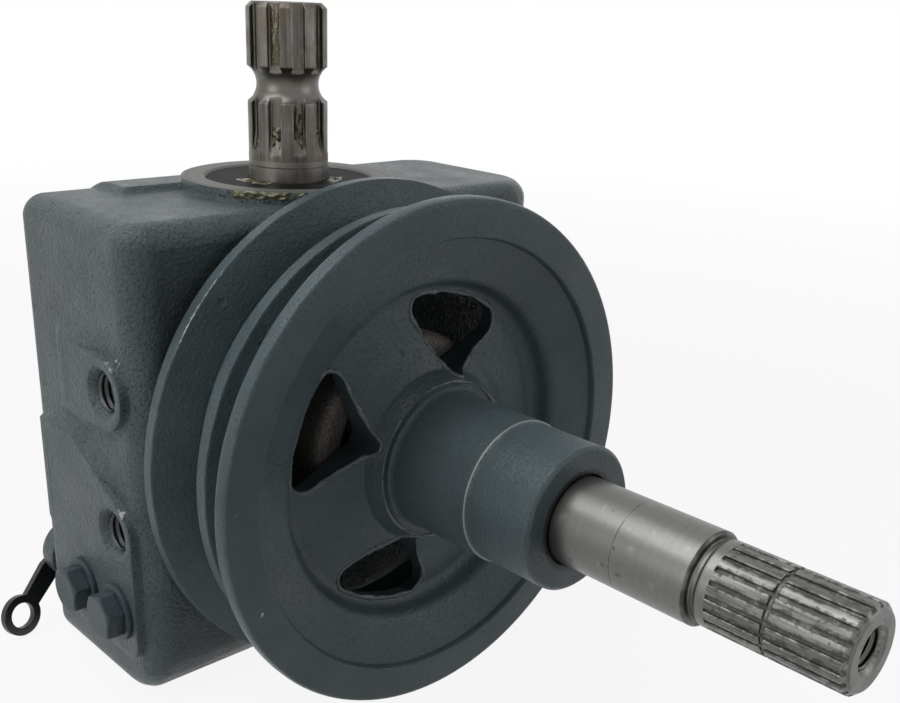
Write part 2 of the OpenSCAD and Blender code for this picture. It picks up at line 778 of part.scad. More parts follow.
// The retaining ring behind the output shaft's bevel gear
module output_gear_clip() color("silver") to_front()
    tube(wheel_seat_r - 0.9 + fit_gap, wheel_seat_r + 2.2, output_gear_z - gear_clip_t, gear_clip_t);

// Angle about the axis that an involute on a base cone has turned at cone angle d
function cone_involute(base, d) = let (
    psi = acos(min(1, cos(d) / cos(base)))
) psi / sin(base) - atan(tan(psi) / sin(base));

// Points of one flank, as [cone angle, angle from the tooth's middle], root first
function flank(cone, root_cone, tip_cone, teeth) = let (
    base = asin(sin(cone) * cos(pressure_angle)),
    play = gear_backlash / (4 * cone_dist * sin(cone)) * 180 / PI,
    half = 90 / teeth - play + cone_involute(base, cone),
    first = max(root_cone, base + 0.01)
) concat(
    root_cone < base ? [[root_cone, half - cone_involute(base, first)]] : [],
    [for (k = [0 : flank_steps]) let (d = first + (tip_cone - first) * k / flank_steps)
        [d, half - cone_involute(base, d)]]
);

// Outline of a bevel gear on a flat at height h from the cones' common tip
function gear_outline(teeth, cone, h) = let (
    side = flank(cone, cone - atan(dedendum / cone_dist), cone + atan(addendum / cone_dist), teeth),
    n = len(side)
) [
    for (i = [0 : teeth - 1], k = [0 : 2 * n - 1]) let (
        p = k < n ? side[k] : side[2 * n - 1 - k],
        a = i * 360 / teeth + (k < n ? -p[1] : p[1])
    ) h * tan(p[0]) * [cos(a), sin(a)]
];

// A bevel gear: its teeth point down to the cones' common tip at the origin.
// back is the height of the hub's end and bore the radius of its seat.
module bevel_gear(teeth, cone, first, bore, back) {
    in_dist = cone_dist - gear_face;
    top = cone_dist * cos(cone) + dedendum * sin(cone) + 1;
    low = in_dist * cos(cone) - addendum * sin(cone) - 0.5;
    heel = cone_dist * [sin(cone), cos(cone)];
    toe = in_dist * [sin(cone), cos(cone)];
    across = [cos(cone), -sin(cone)];
    tip_out = heel + (addendum + over) * across;
    root_out = heel - (dedendum + 0.5) * across;
    tip_in = toe + (addendum + over) * across;
    rim = 1.6;
    in_r = max(toe.x - (dedendum + 0.5) * cos(cone), bore + rim);
    face_r = max(in_r - rim, bore + rim);
    difference() {
        union() {
            intersection() {
                mirror([0, 0, 1]) translate([0, 0, -top]) linear_extrude(height = top - low, scale = low / top)
                    polygon(gear_outline(teeth, cone, top));
                rotate_extrude() polygon([
                    [0, first], [face_r, first], [in_r, toe.y - (in_r - toe.x) * tan(cone)],
                    tip_in, tip_out, root_out,
                    [root_out.x - rim, root_out.y + rim], [0, root_out.y + rim]
                ]);
            }
            translate([0, 0, root_out.y + rim - over])
                cylinder(r = gear_hub_r, h = back - root_out.y - rim + over);
        }
        translate([0, 0, -over]) cylinder(r = bore + fit_gap, h = back + 2 * over);
    }
}

// The bevel gear on the input shaft, a tooth of which points to the front
module input_bevel_gear() color("gray") at_crossing() difference() {
    rotate([0, 0, -90]) bevel_gear(pinion_teeth, pinion_cone, input_gear_z, input_seat_r, lower_bearing_z);
    translate([0, 0, input_gear_z - over])
        key_block(input_seat_r, key_w, pinion_key_len() + over, 90, fit_gap);
}

// The bevel gear on the output shaft, a gap of which takes the other gear's tooth
module output_bevel_gear() color("gray") to_front() difference() {
    rotate([0, 0, 90 + 180 / wheel_teeth])
        bevel_gear(wheel_teeth, wheel_cone, output_gear_z, wheel_seat_r, front_bearing_y);
    translate([0, 0, wheel_key_from()]) key_block(wheel_seat_r, key_w, wheel_key_len() + over, -90, fit_gap);
}

// The place and length of the key in the output bevel gear's hub
function wheel_key_len() = 11;
function wheel_key_from() = front_bearing_y - wheel_key_len() - 1;

// The key of the output shaft's bevel gear
module output_gear_key() color("dimgray") to_front()
    translate([0, 0, wheel_key_from()]) key_block(wheel_seat_r, key_w, wheel_key_len(), -90, 0);

// The output shaft with its seats, its journal, the spline and the tapped end
module output_shaft() color("silver") to_front() difference() {
    chamfer = 1.5;
    relief_w = 1.5;
    relief_d = 0.3;
    sink = 1.4;
    mid_groove_y = shoulder_y + 0.48 * (output_end - shoulder_y);
    rotate_extrude() polygon([
        [0, rear_end_y], [small_in_r - 0.8, rear_end_y], [small_in_r, rear_end_y + 0.8],
        [small_in_r, rear_bearing_y], [output_mid_r, rear_bearing_y],
        [output_mid_r, wheel_seat_start], [wheel_seat_r, wheel_seat_start],
        [wheel_seat_r, front_bearing_y], [output_r, front_bearing_y],
        [output_r, hub_front - relief_w], [output_r - relief_d, hub_front - relief_w],
        [output_r - relief_d, hub_front], [output_r, hub_front],
        [output_r, shoulder_y - 0.6], [output_r - 0.6, shoulder_y], [output_spline_r - 0.9, shoulder_y],
        [output_spline_r - 0.9, shoulder_y + 1.6], [output_spline_r, shoulder_y + 2.4],
        [output_spline_r, output_end - chamfer], [output_spline_r - chamfer, output_end], [0, output_end]
    ]);
    for (i = [0 : output_teeth - 1]) rotate([0, 0, (i + 0.5) * 360 / output_teeth])
        translate([output_spline_r - output_gap_d, -output_gap_w / 2, shoulder_y + 5])
            cube([3, output_gap_w, output_end - shoulder_y]);
    tube(output_spline_r - 1, output_r, mid_groove_y, 1.2);
    tube(small_in_r - 0.7, output_r + over, rear_end_y + 0.9, rear_clip_t);
    tube(wheel_seat_r - 0.9, output_r + over, output_gear_z - gear_clip_t, gear_clip_t);
    translate([0, 0, output_end - end_thread_depth]) cylinder(r = end_thread_r, h = end_thread_depth + over);
    translate([0, 0, output_end - end_thread_depth - end_thread_r / 2])
        cylinder(r1 = 0.1, r2 = end_thread_r, h = end_thread_r / 2);
    translate([0, 0, output_end - sink])
        cylinder(r1 = end_thread_r, r2 = end_thread_r + sink, h = sink);
    translate([0, 0, wheel_key_from()]) key_block(wheel_seat_r, key_w, wheel_key_len(), -90, 0);
    translate([0, 0, pulley_key_from]) key_block(output_r, pulley_key_w, pulley_key_len, 90, 0);
}

// The retaining ring behind the small bearing
module rear_clip() color("silver") to_front()
    tube(small_in_r - 0.7 + fit_gap, small_in_r + 2.2, rear_end_y + 0.9, rear_clip_t);

// The key that drives the pulley
module pulley_key() color("dimgray") to_front()
    translate([0, 0, pulley_key_from]) key_block(output_r, pulley_key_w, pulley_key_len, 90, 0);

// The outline of one window: a rounded triangle that points to the hub
module window_outline() {
    corner = 5;
    apex = 4.5;
    half_angle = 17;
    hull() {
        for (a = [-half_angle, -half_angle / 2, 0, half_angle / 2, half_angle])
            rotate([0, 0, a]) translate([window_r - corner, 0]) circle(r = corner, $fn = 32);
        translate([window_in_r + apex, 0]) circle(r = apex, $fn = 32);
    }
}

// The section of the pulley from its bore out to the grooves' bottom, as [radius, distance to the front]
module pulley_section() {
    lean = groove_lean;
    sleeve_y = front_bearing_y + big_w;
    difference() {
        polygon([
            [0, sleeve_y], [15.4, sleeve_y], [15.4, sleeve_y + 1.8], [hub_sleeve_r, sleeve_y + 2.2],
            [hub_sleeve_r, web_back - 0.5], [hub_sleeve_r + 4.5, web_back], [rim_in_r - 3, web_back],
            [rim_in_r, web_back - 3], [rim_in_r + rim_edge, pulley_back],
            [groove_bottom_r, pulley_back + land_w + lean], [groove_bottom_r, pulley_front - land_w - lean],
            [front_face_r - rim_edge, pulley_front - face_step],
            [window_r + 2.5, web_front + 1.2], [window_r - 1, web_front],
            [hub_ring_out_r + 9.8, web_front + 2.6], [hub_ring_out_r + 2.8, web_front + 6],
            [hub_ring_out_r + 0.8, hub_ring_y - 1.6], [hub_ring_out_r, hub_ring_y],
            [hub_ring_in_r, hub_ring_y], [hub_r + 1, hub_ring_y + 0.8],
            [hub_r + 0.5, hub_ring_y + 2], [hub_r + 0.5, hub_front - hub_step_len],
            [hub_r, hub_front - hub_step_len + 0.5], [hub_r, hub_front - 1], [hub_r - 1, hub_front],
            [0, hub_front]
        ]);
        translate([-over, 0]) square([output_r + fit_gap + over, hub_front + over]);
        translate([0, hub_front - hub_recess]) square([output_r + 0.5, hub_recess + over]);
    }
}

// The cast pulley without its flanges: drum, web with windows, and long hub
module pulley() color("slategray") to_front() difference() {
    rotate_extrude($fn = pulley_facets) pulley_section();
    for (a = window_angles) rotate([0, 0, a])
        translate([0, 0, web_back - 5]) linear_extrude(web_t + 15) window_outline();
    translate([0, 0, pulley_key_from - over])
        key_block(output_r, pulley_key_w, pulley_key_len + over, 90, fit_gap);
}

// The front flange of the pulley with its flat face
module front_flange() color("slategray") to_front() rotate_extrude($fn = pulley_facets) polygon([
    [groove_bottom_r, pulley_front - land_w - groove_lean], [pulley_r, pulley_front - land_w],
    [pulley_r, pulley_front - 1.6], [pulley_r - 0.5, pulley_front - 0.5], [pulley_r - 1.6, pulley_front],
    [front_face_r, pulley_front], [front_face_r - rim_edge, pulley_front - face_step]
]);

// The flange between the pulley's two belt grooves
module middle_flange() color("slategray") to_front() rotate_extrude($fn = pulley_facets) polygon([
    [groove_bottom_r, pulley_mid - mid_land_w / 2 - mid_lean], [mid_land_r, pulley_mid - mid_land_w / 2],
    [mid_land_r, pulley_mid + mid_land_w / 2], [groove_bottom_r, pulley_mid + mid_land_w / 2 + mid_lean]
]);

// The rear flange of the pulley
module rear_flange() color("slategray") to_front() rotate_extrude($fn = pulley_facets) polygon([
    [rim_in_r + rim_edge, pulley_back], [pulley_r - rim_edge, pulley_back],
    [pulley_r, pulley_back + rim_edge], [pulley_r, pulley_back + land_w],
    [groove_bottom_r, pulley_back + land_w + groove_lean]
]);

// The outline of the strap's outer part and of the ring at its end, centred at distance d
module pull_ring_outline(d) {
    difference() {
        union() {
            polygon([
                [-1, -strap_half_w], [0, -strap_half_w], [d - 4, 0.6 - strap_half_w],
                [d - 4, strap_half_w - 0.6], [0, strap_half_w], [-1, strap_half_w]
            ]);
            translate([d, 0]) circle(r = pull_ring_r);
        }
        translate([d, 0]) circle(r = pull_hole_r);
    }
}

// The strap with its pull ring: it leaves the plug level and then slopes to the front
module pull_strap() {
    level = 11.5;
    slope_len = 17.6;
    slope = 17;
    thick = 2.2;
    turn = 140;
    start = 0.2;
    rotate([0, turn, 0]) {
        translate([0, start, -strap_half_w]) cube([level, thick, 2 * strap_half_w]);
        translate([level, start + thick / 2, 0]) rotate([90, 0, -slope]) translate([0, 0, -thick / 2])
            linear_extrude(thick) pull_ring_outline(slope_len);
    }
}

// Moves its children to the dipstick boss's face, with +Z into the case
module at_dipstick() {
    at_crossing() translate([-stick_x, case_half_depth + stick_boss_h, -stick_down])
        rotate([90, 0, 0]) children();
}

// The rubber plug of the dipstick with its strap and pull ring
module dipstick_plug() color("black") at_dipstick() difference() {
    union() {
        translate([0, 0, -plug_cap_t]) cylinder(r = stick_boss_r - 2, h = plug_cap_t);
        cylinder(r = stick_hole_r - 0.1, h = plug_len);
        rotate([-90, 0, 0]) pull_strap();
    }
    translate([0, 0, rod_from - 0.2]) cylinder(r = stick_rod_r + fit_gap, h = plug_len);
    tube(ring_groove_r, stick_hole_r + over, ring_z - 0.9, 1.8);
}

// The steel rod of the dipstick
module dipstick_rod() color("silver") at_dipstick()
    translate([0, 0, rod_from]) cylinder(r = stick_rod_r, h = stick_len);

// The rubber sealing ring in the plug's groove
module dipstick_ring() color("black") at_dipstick()
    translate([0, 0, ring_z]) rotate_extrude()
        translate([(ring_groove_r + stick_hole_r) / 2 - 0.05, 0]) circle(r = 0.88);

gear_case();
rear_cover();
cover_gasket();
cover_bolts();
side_bolts();
side_washers();
input_seal();
output_seal();
input_bore_clip();
output_bore_clip();
input_outer_races();
front_outer_race();
rear_outer_race();
input_shaft();
input_bevel_gear();
input_gear_key();
input_gear_clip();
input_inner_races();
input_spacer();
input_balls();
input_ball_cages();
output_shaft();
output_bevel_gear();
output_gear_key();
output_gear_clip();
pulley();
front_flange();
middle_flange();
rear_flange();
pulley_key();
front_inner_race();
rear_inner_race();
rear_clip();
front_balls();
front_ball_cage();
rear_balls();
rear_ball_cage();
dipstick_plug();
dipstick_rod();
dipstick_ring();
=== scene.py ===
import math

import bpy
from mathutils import Matrix, Vector, noise


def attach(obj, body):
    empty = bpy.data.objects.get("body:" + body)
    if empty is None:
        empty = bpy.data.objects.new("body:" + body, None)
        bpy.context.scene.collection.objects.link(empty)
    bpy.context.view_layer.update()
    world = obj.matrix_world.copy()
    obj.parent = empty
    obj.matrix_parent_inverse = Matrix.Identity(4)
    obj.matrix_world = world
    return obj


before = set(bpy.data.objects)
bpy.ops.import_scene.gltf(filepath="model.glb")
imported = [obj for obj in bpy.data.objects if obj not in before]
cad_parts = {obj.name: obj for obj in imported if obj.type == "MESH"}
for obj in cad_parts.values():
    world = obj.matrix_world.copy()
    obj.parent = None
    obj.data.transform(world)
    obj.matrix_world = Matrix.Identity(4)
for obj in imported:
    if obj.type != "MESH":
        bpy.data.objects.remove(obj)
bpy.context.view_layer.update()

# Camera, light and floor
# The gearbox stands on a pale floor under a large soft box overhead and two weak ones, left and front right.
# The camera looks down on its front left corner, as in the photograph of 900 by 703 pixels.

stand = bpy.context.scene
camera = bpy.data.objects.new("camera", bpy.data.cameras.new("camera"))
stand.collection.objects.link(camera)
camera.data.sensor_width = 36
camera.data.lens = 44.84
photo_width = 900
photo_middle = 351.5
aim_row = 431.5
camera.data.shift_y = (aim_row - photo_middle) / photo_width
camera.data.clip_start = 0.01
camera.location = (-0.21461, -0.29999, 0.20904)
camera.rotation_euler = [math.radians(angle) for angle in (68.542, -2.141, -43.317)]
stand.camera = camera
stand.view_settings.view_transform = "Standard"


def fill(tree, node, sockets):
    """Sets or links a node's inputs, by name or number, and gives its outputs."""
    for name, value in sockets.items():
        if isinstance(value, bpy.types.NodeSocket):
            tree.links.new(value, node.inputs[name])
        else:
            node.inputs[name].default_value = value
    return node.outputs


def add(tree, kind, sockets, **settings):
    """A new node in a node tree, with its settings and its inputs filled: gives its outputs."""
    node = tree.nodes.new(kind)
    for name, value in settings.items():
        setattr(node, name, value)
    return fill(tree, node, sockets)


def maths(tree, operation, first, second=0.0, third=0.0):
    """The result of one sum or comparison."""
    return add(tree, "ShaderNodeMath", {0: first, 1: second, 2: third}, operation=operation)[0]


def fade(tree, value, start, end, low=0.0, high=1.0):
    """Goes from low to high, clamped, as value goes from start to end."""
    return add(tree, "ShaderNodeMapRange", {0: value, 1: start, 2: end, 3: low, 4: high})[0]


def soft_box(name, place, target, width, power):
    """A square soft box that the camera doesn't see."""
    lamp = bpy.data.lights.new(name, "AREA")
    lamp.size = width
    lamp.energy = power
    holder = bpy.data.objects.new(name, lamp)
    holder.location = place
    holder.rotation_euler = (Vector(target) - Vector(place)).to_track_quat("-Z", "Y").to_euler()
    holder.visible_camera = False
    stand.collection.objects.link(holder)


soft_box("overhead_box", (-0.42, 0.12, 1.05), (0.0, -0.03, 0.08), width=0.8, power=7.2)
soft_box("left_box", (-1.25, 0.05, 0.42), (0.0, 0.0, 0.08), width=0.6, power=3.4)
soft_box("front_box", (0.75, -1.0, 0.45), (0.0, -0.05, 0.08), width=0.7, power=2.15)


def seen_rays(tree):
    """1 for what the camera sees, straight or in a mirror or glass, and 0 for what only gives light."""
    rays = tree.nodes.new("ShaderNodeLightPath").outputs
    seen = maths(tree, "MAXIMUM", rays["Is Camera Ray"], rays["Is Glossy Ray"])
    return maths(tree, "MAXIMUM", seen, rays["Is Transmission Ray"])


surround = bpy.data.worlds.new("white_surround")
stand.world = surround
surround.use_nodes = True
tree = surround.node_tree
surround_light = 0.085
strength = fade(tree, seen_rays(tree), 0, 1, surround_light, 1.0)
fill(tree, tree.nodes["Background"], {"Color": (1, 1, 1, 1), "Strength": strength})

floor_mesh = bpy.data.meshes.new("floor")
floor_reach = 1.2
floor_sides = 64
rim = []
for i in range(floor_sides):
    turn = i * 2 * math.pi / floor_sides
    rim.append((floor_reach * math.cos(turn), floor_reach * math.sin(turn), 0))
slices = [(0, i + 1, (i + 1) % floor_sides + 1) for i in range(floor_sides)]
floor_mesh.from_pydata([(0, 0, 0)] + rim, [], slices)
floor = bpy.data.objects.new("floor", floor_mesh)
stand.collection.objects.link(floor)
paper = bpy.data.materials.new("white_paper")
paper.use_nodes = True
tree = paper.node_tree
tree.nodes.clear()
spot = tree.nodes.new("ShaderNodeTexCoord").outputs["Object"]
away = add(tree, "ShaderNodeVectorMath", {0: spot}, operation="LENGTH")["Value"]
sheet = add(tree, "ShaderNodeBsdfDiffuse", {"Color": (0.7, 0.7, 0.7, 1)})[0]
glow = add(tree, "ShaderNodeEmission", {"Color": (1, 1, 1, 1), "Strength": 1.0})[0]
white_share = maths(tree, "MULTIPLY", seen_rays(tree), 0.9)
blend = add(tree, "ShaderNodeMixShader", {0: white_share, 1: sheet, 2: glow})[0]
gone = add(tree, "ShaderNodeBsdfTransparent", {"Color": (1, 1, 1, 1)})[0]
ending = add(tree, "ShaderNodeMixShader", {0: fade(tree, away, 0.35, 1.1), 1: blend, 2: gone})[0]
add(tree, "ShaderNodeOutputMaterial", {"Surface": ending})
floor_mesh.materials.append(paper)

# Gear case
# A box of grey cast iron, poured in a sand mould and sprayed with satin blue grey paint, which leaves its
# skin pebbled and its edges soft. The ring round the input shaft and the bearing bores are machined bare.


def effect(name, inputs, outputs):
    """A node group with its input and output sockets: gives the tree, what comes in and what goes out."""
    group = bpy.data.node_groups.new(name, "ShaderNodeTree")
    for label, kind, value in inputs:
        socket = group.interface.new_socket(label, in_out="INPUT", socket_type="NodeSocket" + kind)
        socket.default_value = value
    for label, kind in outputs:
        group.interface.new_socket(label, in_out="OUTPUT", socket_type="NodeSocket" + kind)
    return group, group.nodes.new("NodeGroupInput").outputs, group.nodes.new("NodeGroupOutput").inputs


def grain(tree, place, scale, detail=2.0, rough=0.5):
    """Noise from 0 to 1 whose lumps are about 1 / scale metres wide."""
    sockets = {"Vector": place, "Scale": scale, "Detail": detail, "Roughness": rough}
    return add(tree, "ShaderNodeTexNoise", sockets)[0]


def mingle(tree, share, first, second):
    """A colour between two, by a share from 0 to 1."""
    return add(tree, "ShaderNodeMix", {0: share, 6: first, 7: second}, data_type="RGBA")[2]


def shade(colour, factor):
    """A colour made darker or lighter, with its alpha."""
    return [min(1, factor * c) for c in colour] + [1]


# Sand mould skin under paint: slow waves, pebbles, orange peel, fine pits and a few blow holes.
sand_skin, given, result = effect(
    "sand_skin",
    [("Place", "Vector", (0, 0, 0)), ("Waves", "Float", 1.0), ("Pebbles", "Float", 1.0),
     ("Holes", "Float", 1.0)],
    [("Height", "Float"), ("Tone", "Float"), ("Pits", "Float")],
)
waves = maths(sand_skin, "MULTIPLY", grain(sand_skin, given["Place"], 38, 2), given["Waves"])
lumps = fade(sand_skin, grain(sand_skin, given["Place"], 800, 3, 0.6), 0.38, 0.7)
lumps = maths(sand_skin, "MULTIPLY", lumps, given["Pebbles"])
peel = grain(sand_skin, given["Place"], 1100, 2)
pits = fade(sand_skin, grain(sand_skin, given["Place"], 1250, 3, 0.6), 0.43, 0.34)
pits = maths(sand_skin, "MULTIPLY", pits, given["Pebbles"])
cells = add(sand_skin, "ShaderNodeTexVoronoi", {"Vector": given["Place"], "Scale": 95})
near = fade(sand_skin, cells["Distance"], 0.05, 0.12, 1.0, 0.0)
chance = add(sand_skin, "ShaderNodeSeparateColor", {0: cells["Color"]})[0]
rare = maths(sand_skin, "GREATER_THAN", chance, 0.86)
hole = maths(sand_skin, "MULTIPLY", maths(sand_skin, "MULTIPLY", near, rare), given["Holes"])
height = maths(sand_skin, "MULTIPLY", waves, 0.0006)
for relief, metres in ((lumps, 0.00017), (peel, 0.00006), (pits, -0.0002), (hole, -0.0004)):
    height = maths(sand_skin, "MULTIPLY_ADD", relief, metres, height)
sand_skin.links.new(height, result["Height"])
sand_skin.links.new(pits, result["Pits"])
sand_skin.links.new(grain(sand_skin, given["Place"], 26, 5, 0.6), result["Tone"])

# Edges: a rounded normal, and where the edges are, so that they can be painted lighter:
# worn paint and a painted highlight.
soft_edge, given, result = effect(
    "soft_edge",
    [("Place", "Vector", (0, 0, 0)), ("Width", "Float", 0.001)],
    [("Round", "Vector"), ("Edge", "Float")],
)
rounded = add(soft_edge, "ShaderNodeBevel", {"Radius": given["Width"]}, samples=6)[0]
flat = soft_edge.nodes.new("ShaderNodeNewGeometry").outputs["Normal"]
match = add(soft_edge, "ShaderNodeVectorMath", {0: rounded, 1: flat}, operation="DOT_PRODUCT")["Value"]
edge = fade(soft_edge, match, 0.985, 0.86)
lightened = fade(soft_edge, grain(soft_edge, given["Place"], 130, 4, 0.65), 0.42, 0.62)
soft_edge.links.new(rounded, result["Round"])
soft_edge.links.new(maths(soft_edge, "MULTIPLY", edge, lightened), result["Edge"])

# A chip: one ragged spot where the paint is knocked off.
chip, given, result = effect(
    "chip",
    [("Place", "Vector", (0, 0, 0)), ("Spot", "Vector", (0, 0, 0)), ("Size", "Float", 0.002)],
    [("Mask", "Float")],
)
ends = {0: given["Place"], 1: given["Spot"]}
gap = add(chip, "ShaderNodeVectorMath", ends, operation="DISTANCE")["Value"]
ragged = fade(chip, grain(chip, given["Place"], 900, 4, 0.7), 0.3, 0.7, 0.1, 1.5)
ragged = maths(chip, "MULTIPLY", given["Size"], ragged)
chip.links.new(maths(chip, "LESS_THAN", gap, ragged), result["Mask"])

# Turning marks: fine rings along a shaft or a faced ring, and their light and dark.
turning, given, result = effect(
    "turning",
    [("Along", "Float", 0.0)],
    [("Height", "Float"), ("Tone", "Float")],
)
stripes = {"W": given["Along"], "Scale": 5200, "Detail": 3}
stripes = add(turning, "ShaderNodeTexNoise", stripes, noise_dimensions="1D")[0]
bands = {"W": given["Along"], "Scale": 700, "Detail": 3}
bands = add(turning, "ShaderNodeTexNoise", bands, noise_dimensions="1D")[0]
turning.links.new(maths(turning, "MULTIPLY", stripes, 0.000012), result["Height"])
turning.links.new(bands, result["Tone"])

# Stains: blotches of oil film, rust or dust, sharper or softer.
stain, given, result = effect(
    "stain",
    [("Place", "Vector", (0, 0, 0)), ("Scale", "Float", 60.0), ("Cover", "Float", 0.4),
     ("Soft", "Float", 0.15)],
    [("Mask", "Float")],
)
cloud = grain(stain, given["Place"], given["Scale"], 5, 0.65)
level = maths(stain, "SUBTRACT", 1.0, given["Cover"])
stain.links.new(fade(stain, cloud, level, maths(stain, "ADD", level, given["Soft"])), result["Mask"])


def use(tree, group, sockets):
    """A node group placed in a material: gives its outputs."""
    return add(tree, "ShaderNodeGroup", sockets, node_tree=group)


def start_material(name):
    """A new material: gives it, its node tree, its Principled shader and the place on the piece."""
    material = bpy.data.materials.new(name)
    material.use_nodes = True
    tree = material.node_tree
    place = tree.nodes.new("ShaderNodeTexCoord").outputs["Object"]
    return material, tree, tree.nodes["Principled BSDF"], place


def parts_of(tree, place):
    """The three coordinates of a place."""
    return add(tree, "ShaderNodeSeparateXYZ", {0: place})


def from_axis(tree, first, second):
    """The distance from an axis, by the two coordinates across it."""
    square = maths(tree, "MULTIPLY_ADD", first, first, maths(tree, "MULTIPLY", second, second))
    return maths(tree, "SQRT", square)


def between(tree, value, low, high):
    """1 where value lies between low and high."""
    above = maths(tree, "GREATER_THAN", value, low)
    return maths(tree, "MULTIPLY", above, maths(tree, "LESS_THAN", value, high))


def painted_iron(name, colour, waves, pebbles, holes, sheen, bare=None, chips=(), edge_wear_and_highlight=0.5, rounding=0.0011,
                 patch=None, metal_tones=((0.055, 0.055, 0.053, 1), (0.21, 0.206, 0.198, 1))):
    """Paint over cast iron.

    bare gives the mask of the machined faces and bared edges, on the pulley also of its painted rim
    highlight, and the coordinate that their turning marks follow, and metal_tones are their dark and light.
    chips are spots with their sizes. The last mask, with its dark and light, recolours the paint: on the case
    the snout that the spray missed, on the pulley black painted shade round the hub's mouth.
    """
    material, tree, shader, place = start_material(name)
    skin = use(tree, sand_skin, {"Place": place, "Waves": waves, "Pebbles": pebbles, "Holes": holes})
    edges = use(tree, soft_edge, {"Place": place, "Width": rounding})
    paint = mingle(tree, fade(tree, skin["Tone"], 0.35, 0.68), shade(colour, 0.8), shade(colour, 1.2))
    paint = mingle(tree, maths(tree, "MULTIPLY", skin["Pits"], 0.5), paint, shade(colour, 0.3))
    dust = use(tree, stain, {"Place": place, "Scale": 45, "Cover": 0.42, "Soft": 0.3})["Mask"]
    upward = parts_of(tree, tree.nodes.new("ShaderNodeNewGeometry").outputs["Normal"])["Z"]
    dust = maths(tree, "MULTIPLY", dust, fade(tree, upward, 0.3, 1.0, 0.02, 0.10))
    paint = mingle(tree, dust, paint, (0.30, 0.29, 0.27, 1))
    # Edges painted lighter: worn paint and a painted highlight.
    paint = mingle(tree, maths(tree, "MULTIPLY", edges["Edge"], edge_wear_and_highlight), paint, shade(colour, 2.7))
    # A patch of other colour: on the case the snout the spray missed, on the pulley black painted shade.
    if patch:
        reach, deep, pale = patch(tree, place)
        paint = mingle(tree, reach, paint, mingle(tree, skin["Tone"], deep, pale))
    chipped = 0.0
    for spot, size in chips:
        knocked = use(tree, chip, {"Place": place, "Spot": spot, "Size": size})["Mask"]
        chipped = maths(tree, "MAXIMUM", chipped, knocked)
    if chips:
        paint = mingle(tree, chipped, paint, (0.55, 0.56, 0.55, 1))
    rough = fade(tree, grain(tree, place, 70, 3), 0.3, 0.7, sheen - 0.06, sheen + 0.08)
    height = skin["Height"]
    if bare:
        mask, along = bare(tree, place)
        rings = use(tree, turning, {"Along": along})
        paint = mingle(tree, mask, paint, mingle(tree, rings["Tone"], *metal_tones))
        tree.links.new(mask, shader.inputs["Metallic"])
        rough = maths(tree, "MULTIPLY_ADD", maths(tree, "SUBTRACT", 0.55, rough), mask, rough)
        cast = maths(tree, "SUBTRACT", 1.0, mask)
        height = maths(tree, "MULTIPLY_ADD", height, cast, maths(tree, "MULTIPLY", rings["Height"], mask))
    relief = {"Height": height, "Distance": 1.0, "Strength": 1.0, "Normal": edges["Round"]}
    bump = add(tree, "ShaderNodeBump", relief)[0]
    fill(tree, shader, {"Base Color": paint, "Roughness": rough, "Normal": bump})
    shader.inputs["Specular IOR Level"].default_value = 0.24
    return material


def even_shading(piece, angle):
    """Joins the solid's split points and shades its round faces smooth up to that angle."""
    piece.modifiers.new("join", "WELD").merge_threshold = 0.000004
    smoother = bpy.data.node_groups.get("smooth_%d" % angle)
    if smoother is None:
        smoother = bpy.data.node_groups.new("smooth_%d" % angle, "GeometryNodeTree")
        smoother.interface.new_socket("Geometry", in_out="INPUT", socket_type="NodeSocketGeometry")
        smoother.interface.new_socket("Geometry", in_out="OUTPUT", socket_type="NodeSocketGeometry")
        shape = smoother.nodes.new("NodeGroupInput").outputs[0]
        shape = add(smoother, "GeometryNodeSetShadeSmooth", {"Geometry": shape, "Shade Smooth": True})[0]
        turn = smoother.nodes.new("GeometryNodeInputMeshEdgeAngle").outputs["Unsigned Angle"]
        limit = {0: turn, 1: math.radians(angle)}
        sharp = add(smoother, "FunctionNodeCompare", limit, operation="GREATER_THAN")
        crease = add(smoother, "GeometryNodeSetShadeSmooth",
                     {"Geometry": shape, "Selection": sharp[0], "Shade Smooth": False}, domain="EDGE")
        smoother.links.new(crease[0], smoother.nodes.new("NodeGroupOutput").inputs[0])
    piece.modifiers.new("smooth", "NODES").node_group = smoother
    even = piece.modifiers.new("even", "WEIGHTED_NORMAL")
    even.keep_sharp = True
    even.weight = 60


def dress(name, material, angle=28):
    """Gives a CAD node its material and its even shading."""
    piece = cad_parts[name]
    piece.data.materials.clear()
    piece.data.materials.append(material)
    even_shading(piece, angle)


blue_grey = (0.076, 0.100, 0.107)
ring_top = 0.1520
face_skin = 0.0003
ring_face = 0.0332
bore_radius = 0.0272
bore_floor = 0.085
shaft_height = 0.0785
snout_radius = 0.05
spray_edge = (-0.046, -0.050)


def from_shaft(tree, x, z):
    """The distance from the output shaft's axis."""
    return from_axis(tree, x, maths(tree, "SUBTRACT", z, shaft_height))


def machined_ring(tree, place):
    """The faced top of the ring and everything bored under it."""
    x, y, z = parts_of(tree, place)
    out = from_axis(tree, x, y)
    top = maths(tree, "GREATER_THAN", z, ring_top - face_skin)
    faced = maths(tree, "MULTIPLY", top, maths(tree, "LESS_THAN", out, ring_face))
    depth = between(tree, z, bore_floor, ring_top)
    bored = maths(tree, "MULTIPLY", depth, maths(tree, "LESS_THAN", out, bore_radius))
    return maths(tree, "MAXIMUM", faced, bored), out


def raw_snout(tree, place):
    """The snout behind the pulley, which the spray didn't reach."""
    x, y, z = parts_of(tree, place)
    near = maths(tree, "LESS_THAN", from_shaft(tree, x, z), snout_radius)
    reach = maths(tree, "MULTIPLY", fade(tree, y, *spray_edge), near)
    return reach, (0.10, 0.09, 0.08, 1), (0.24, 0.22, 0.20, 1)


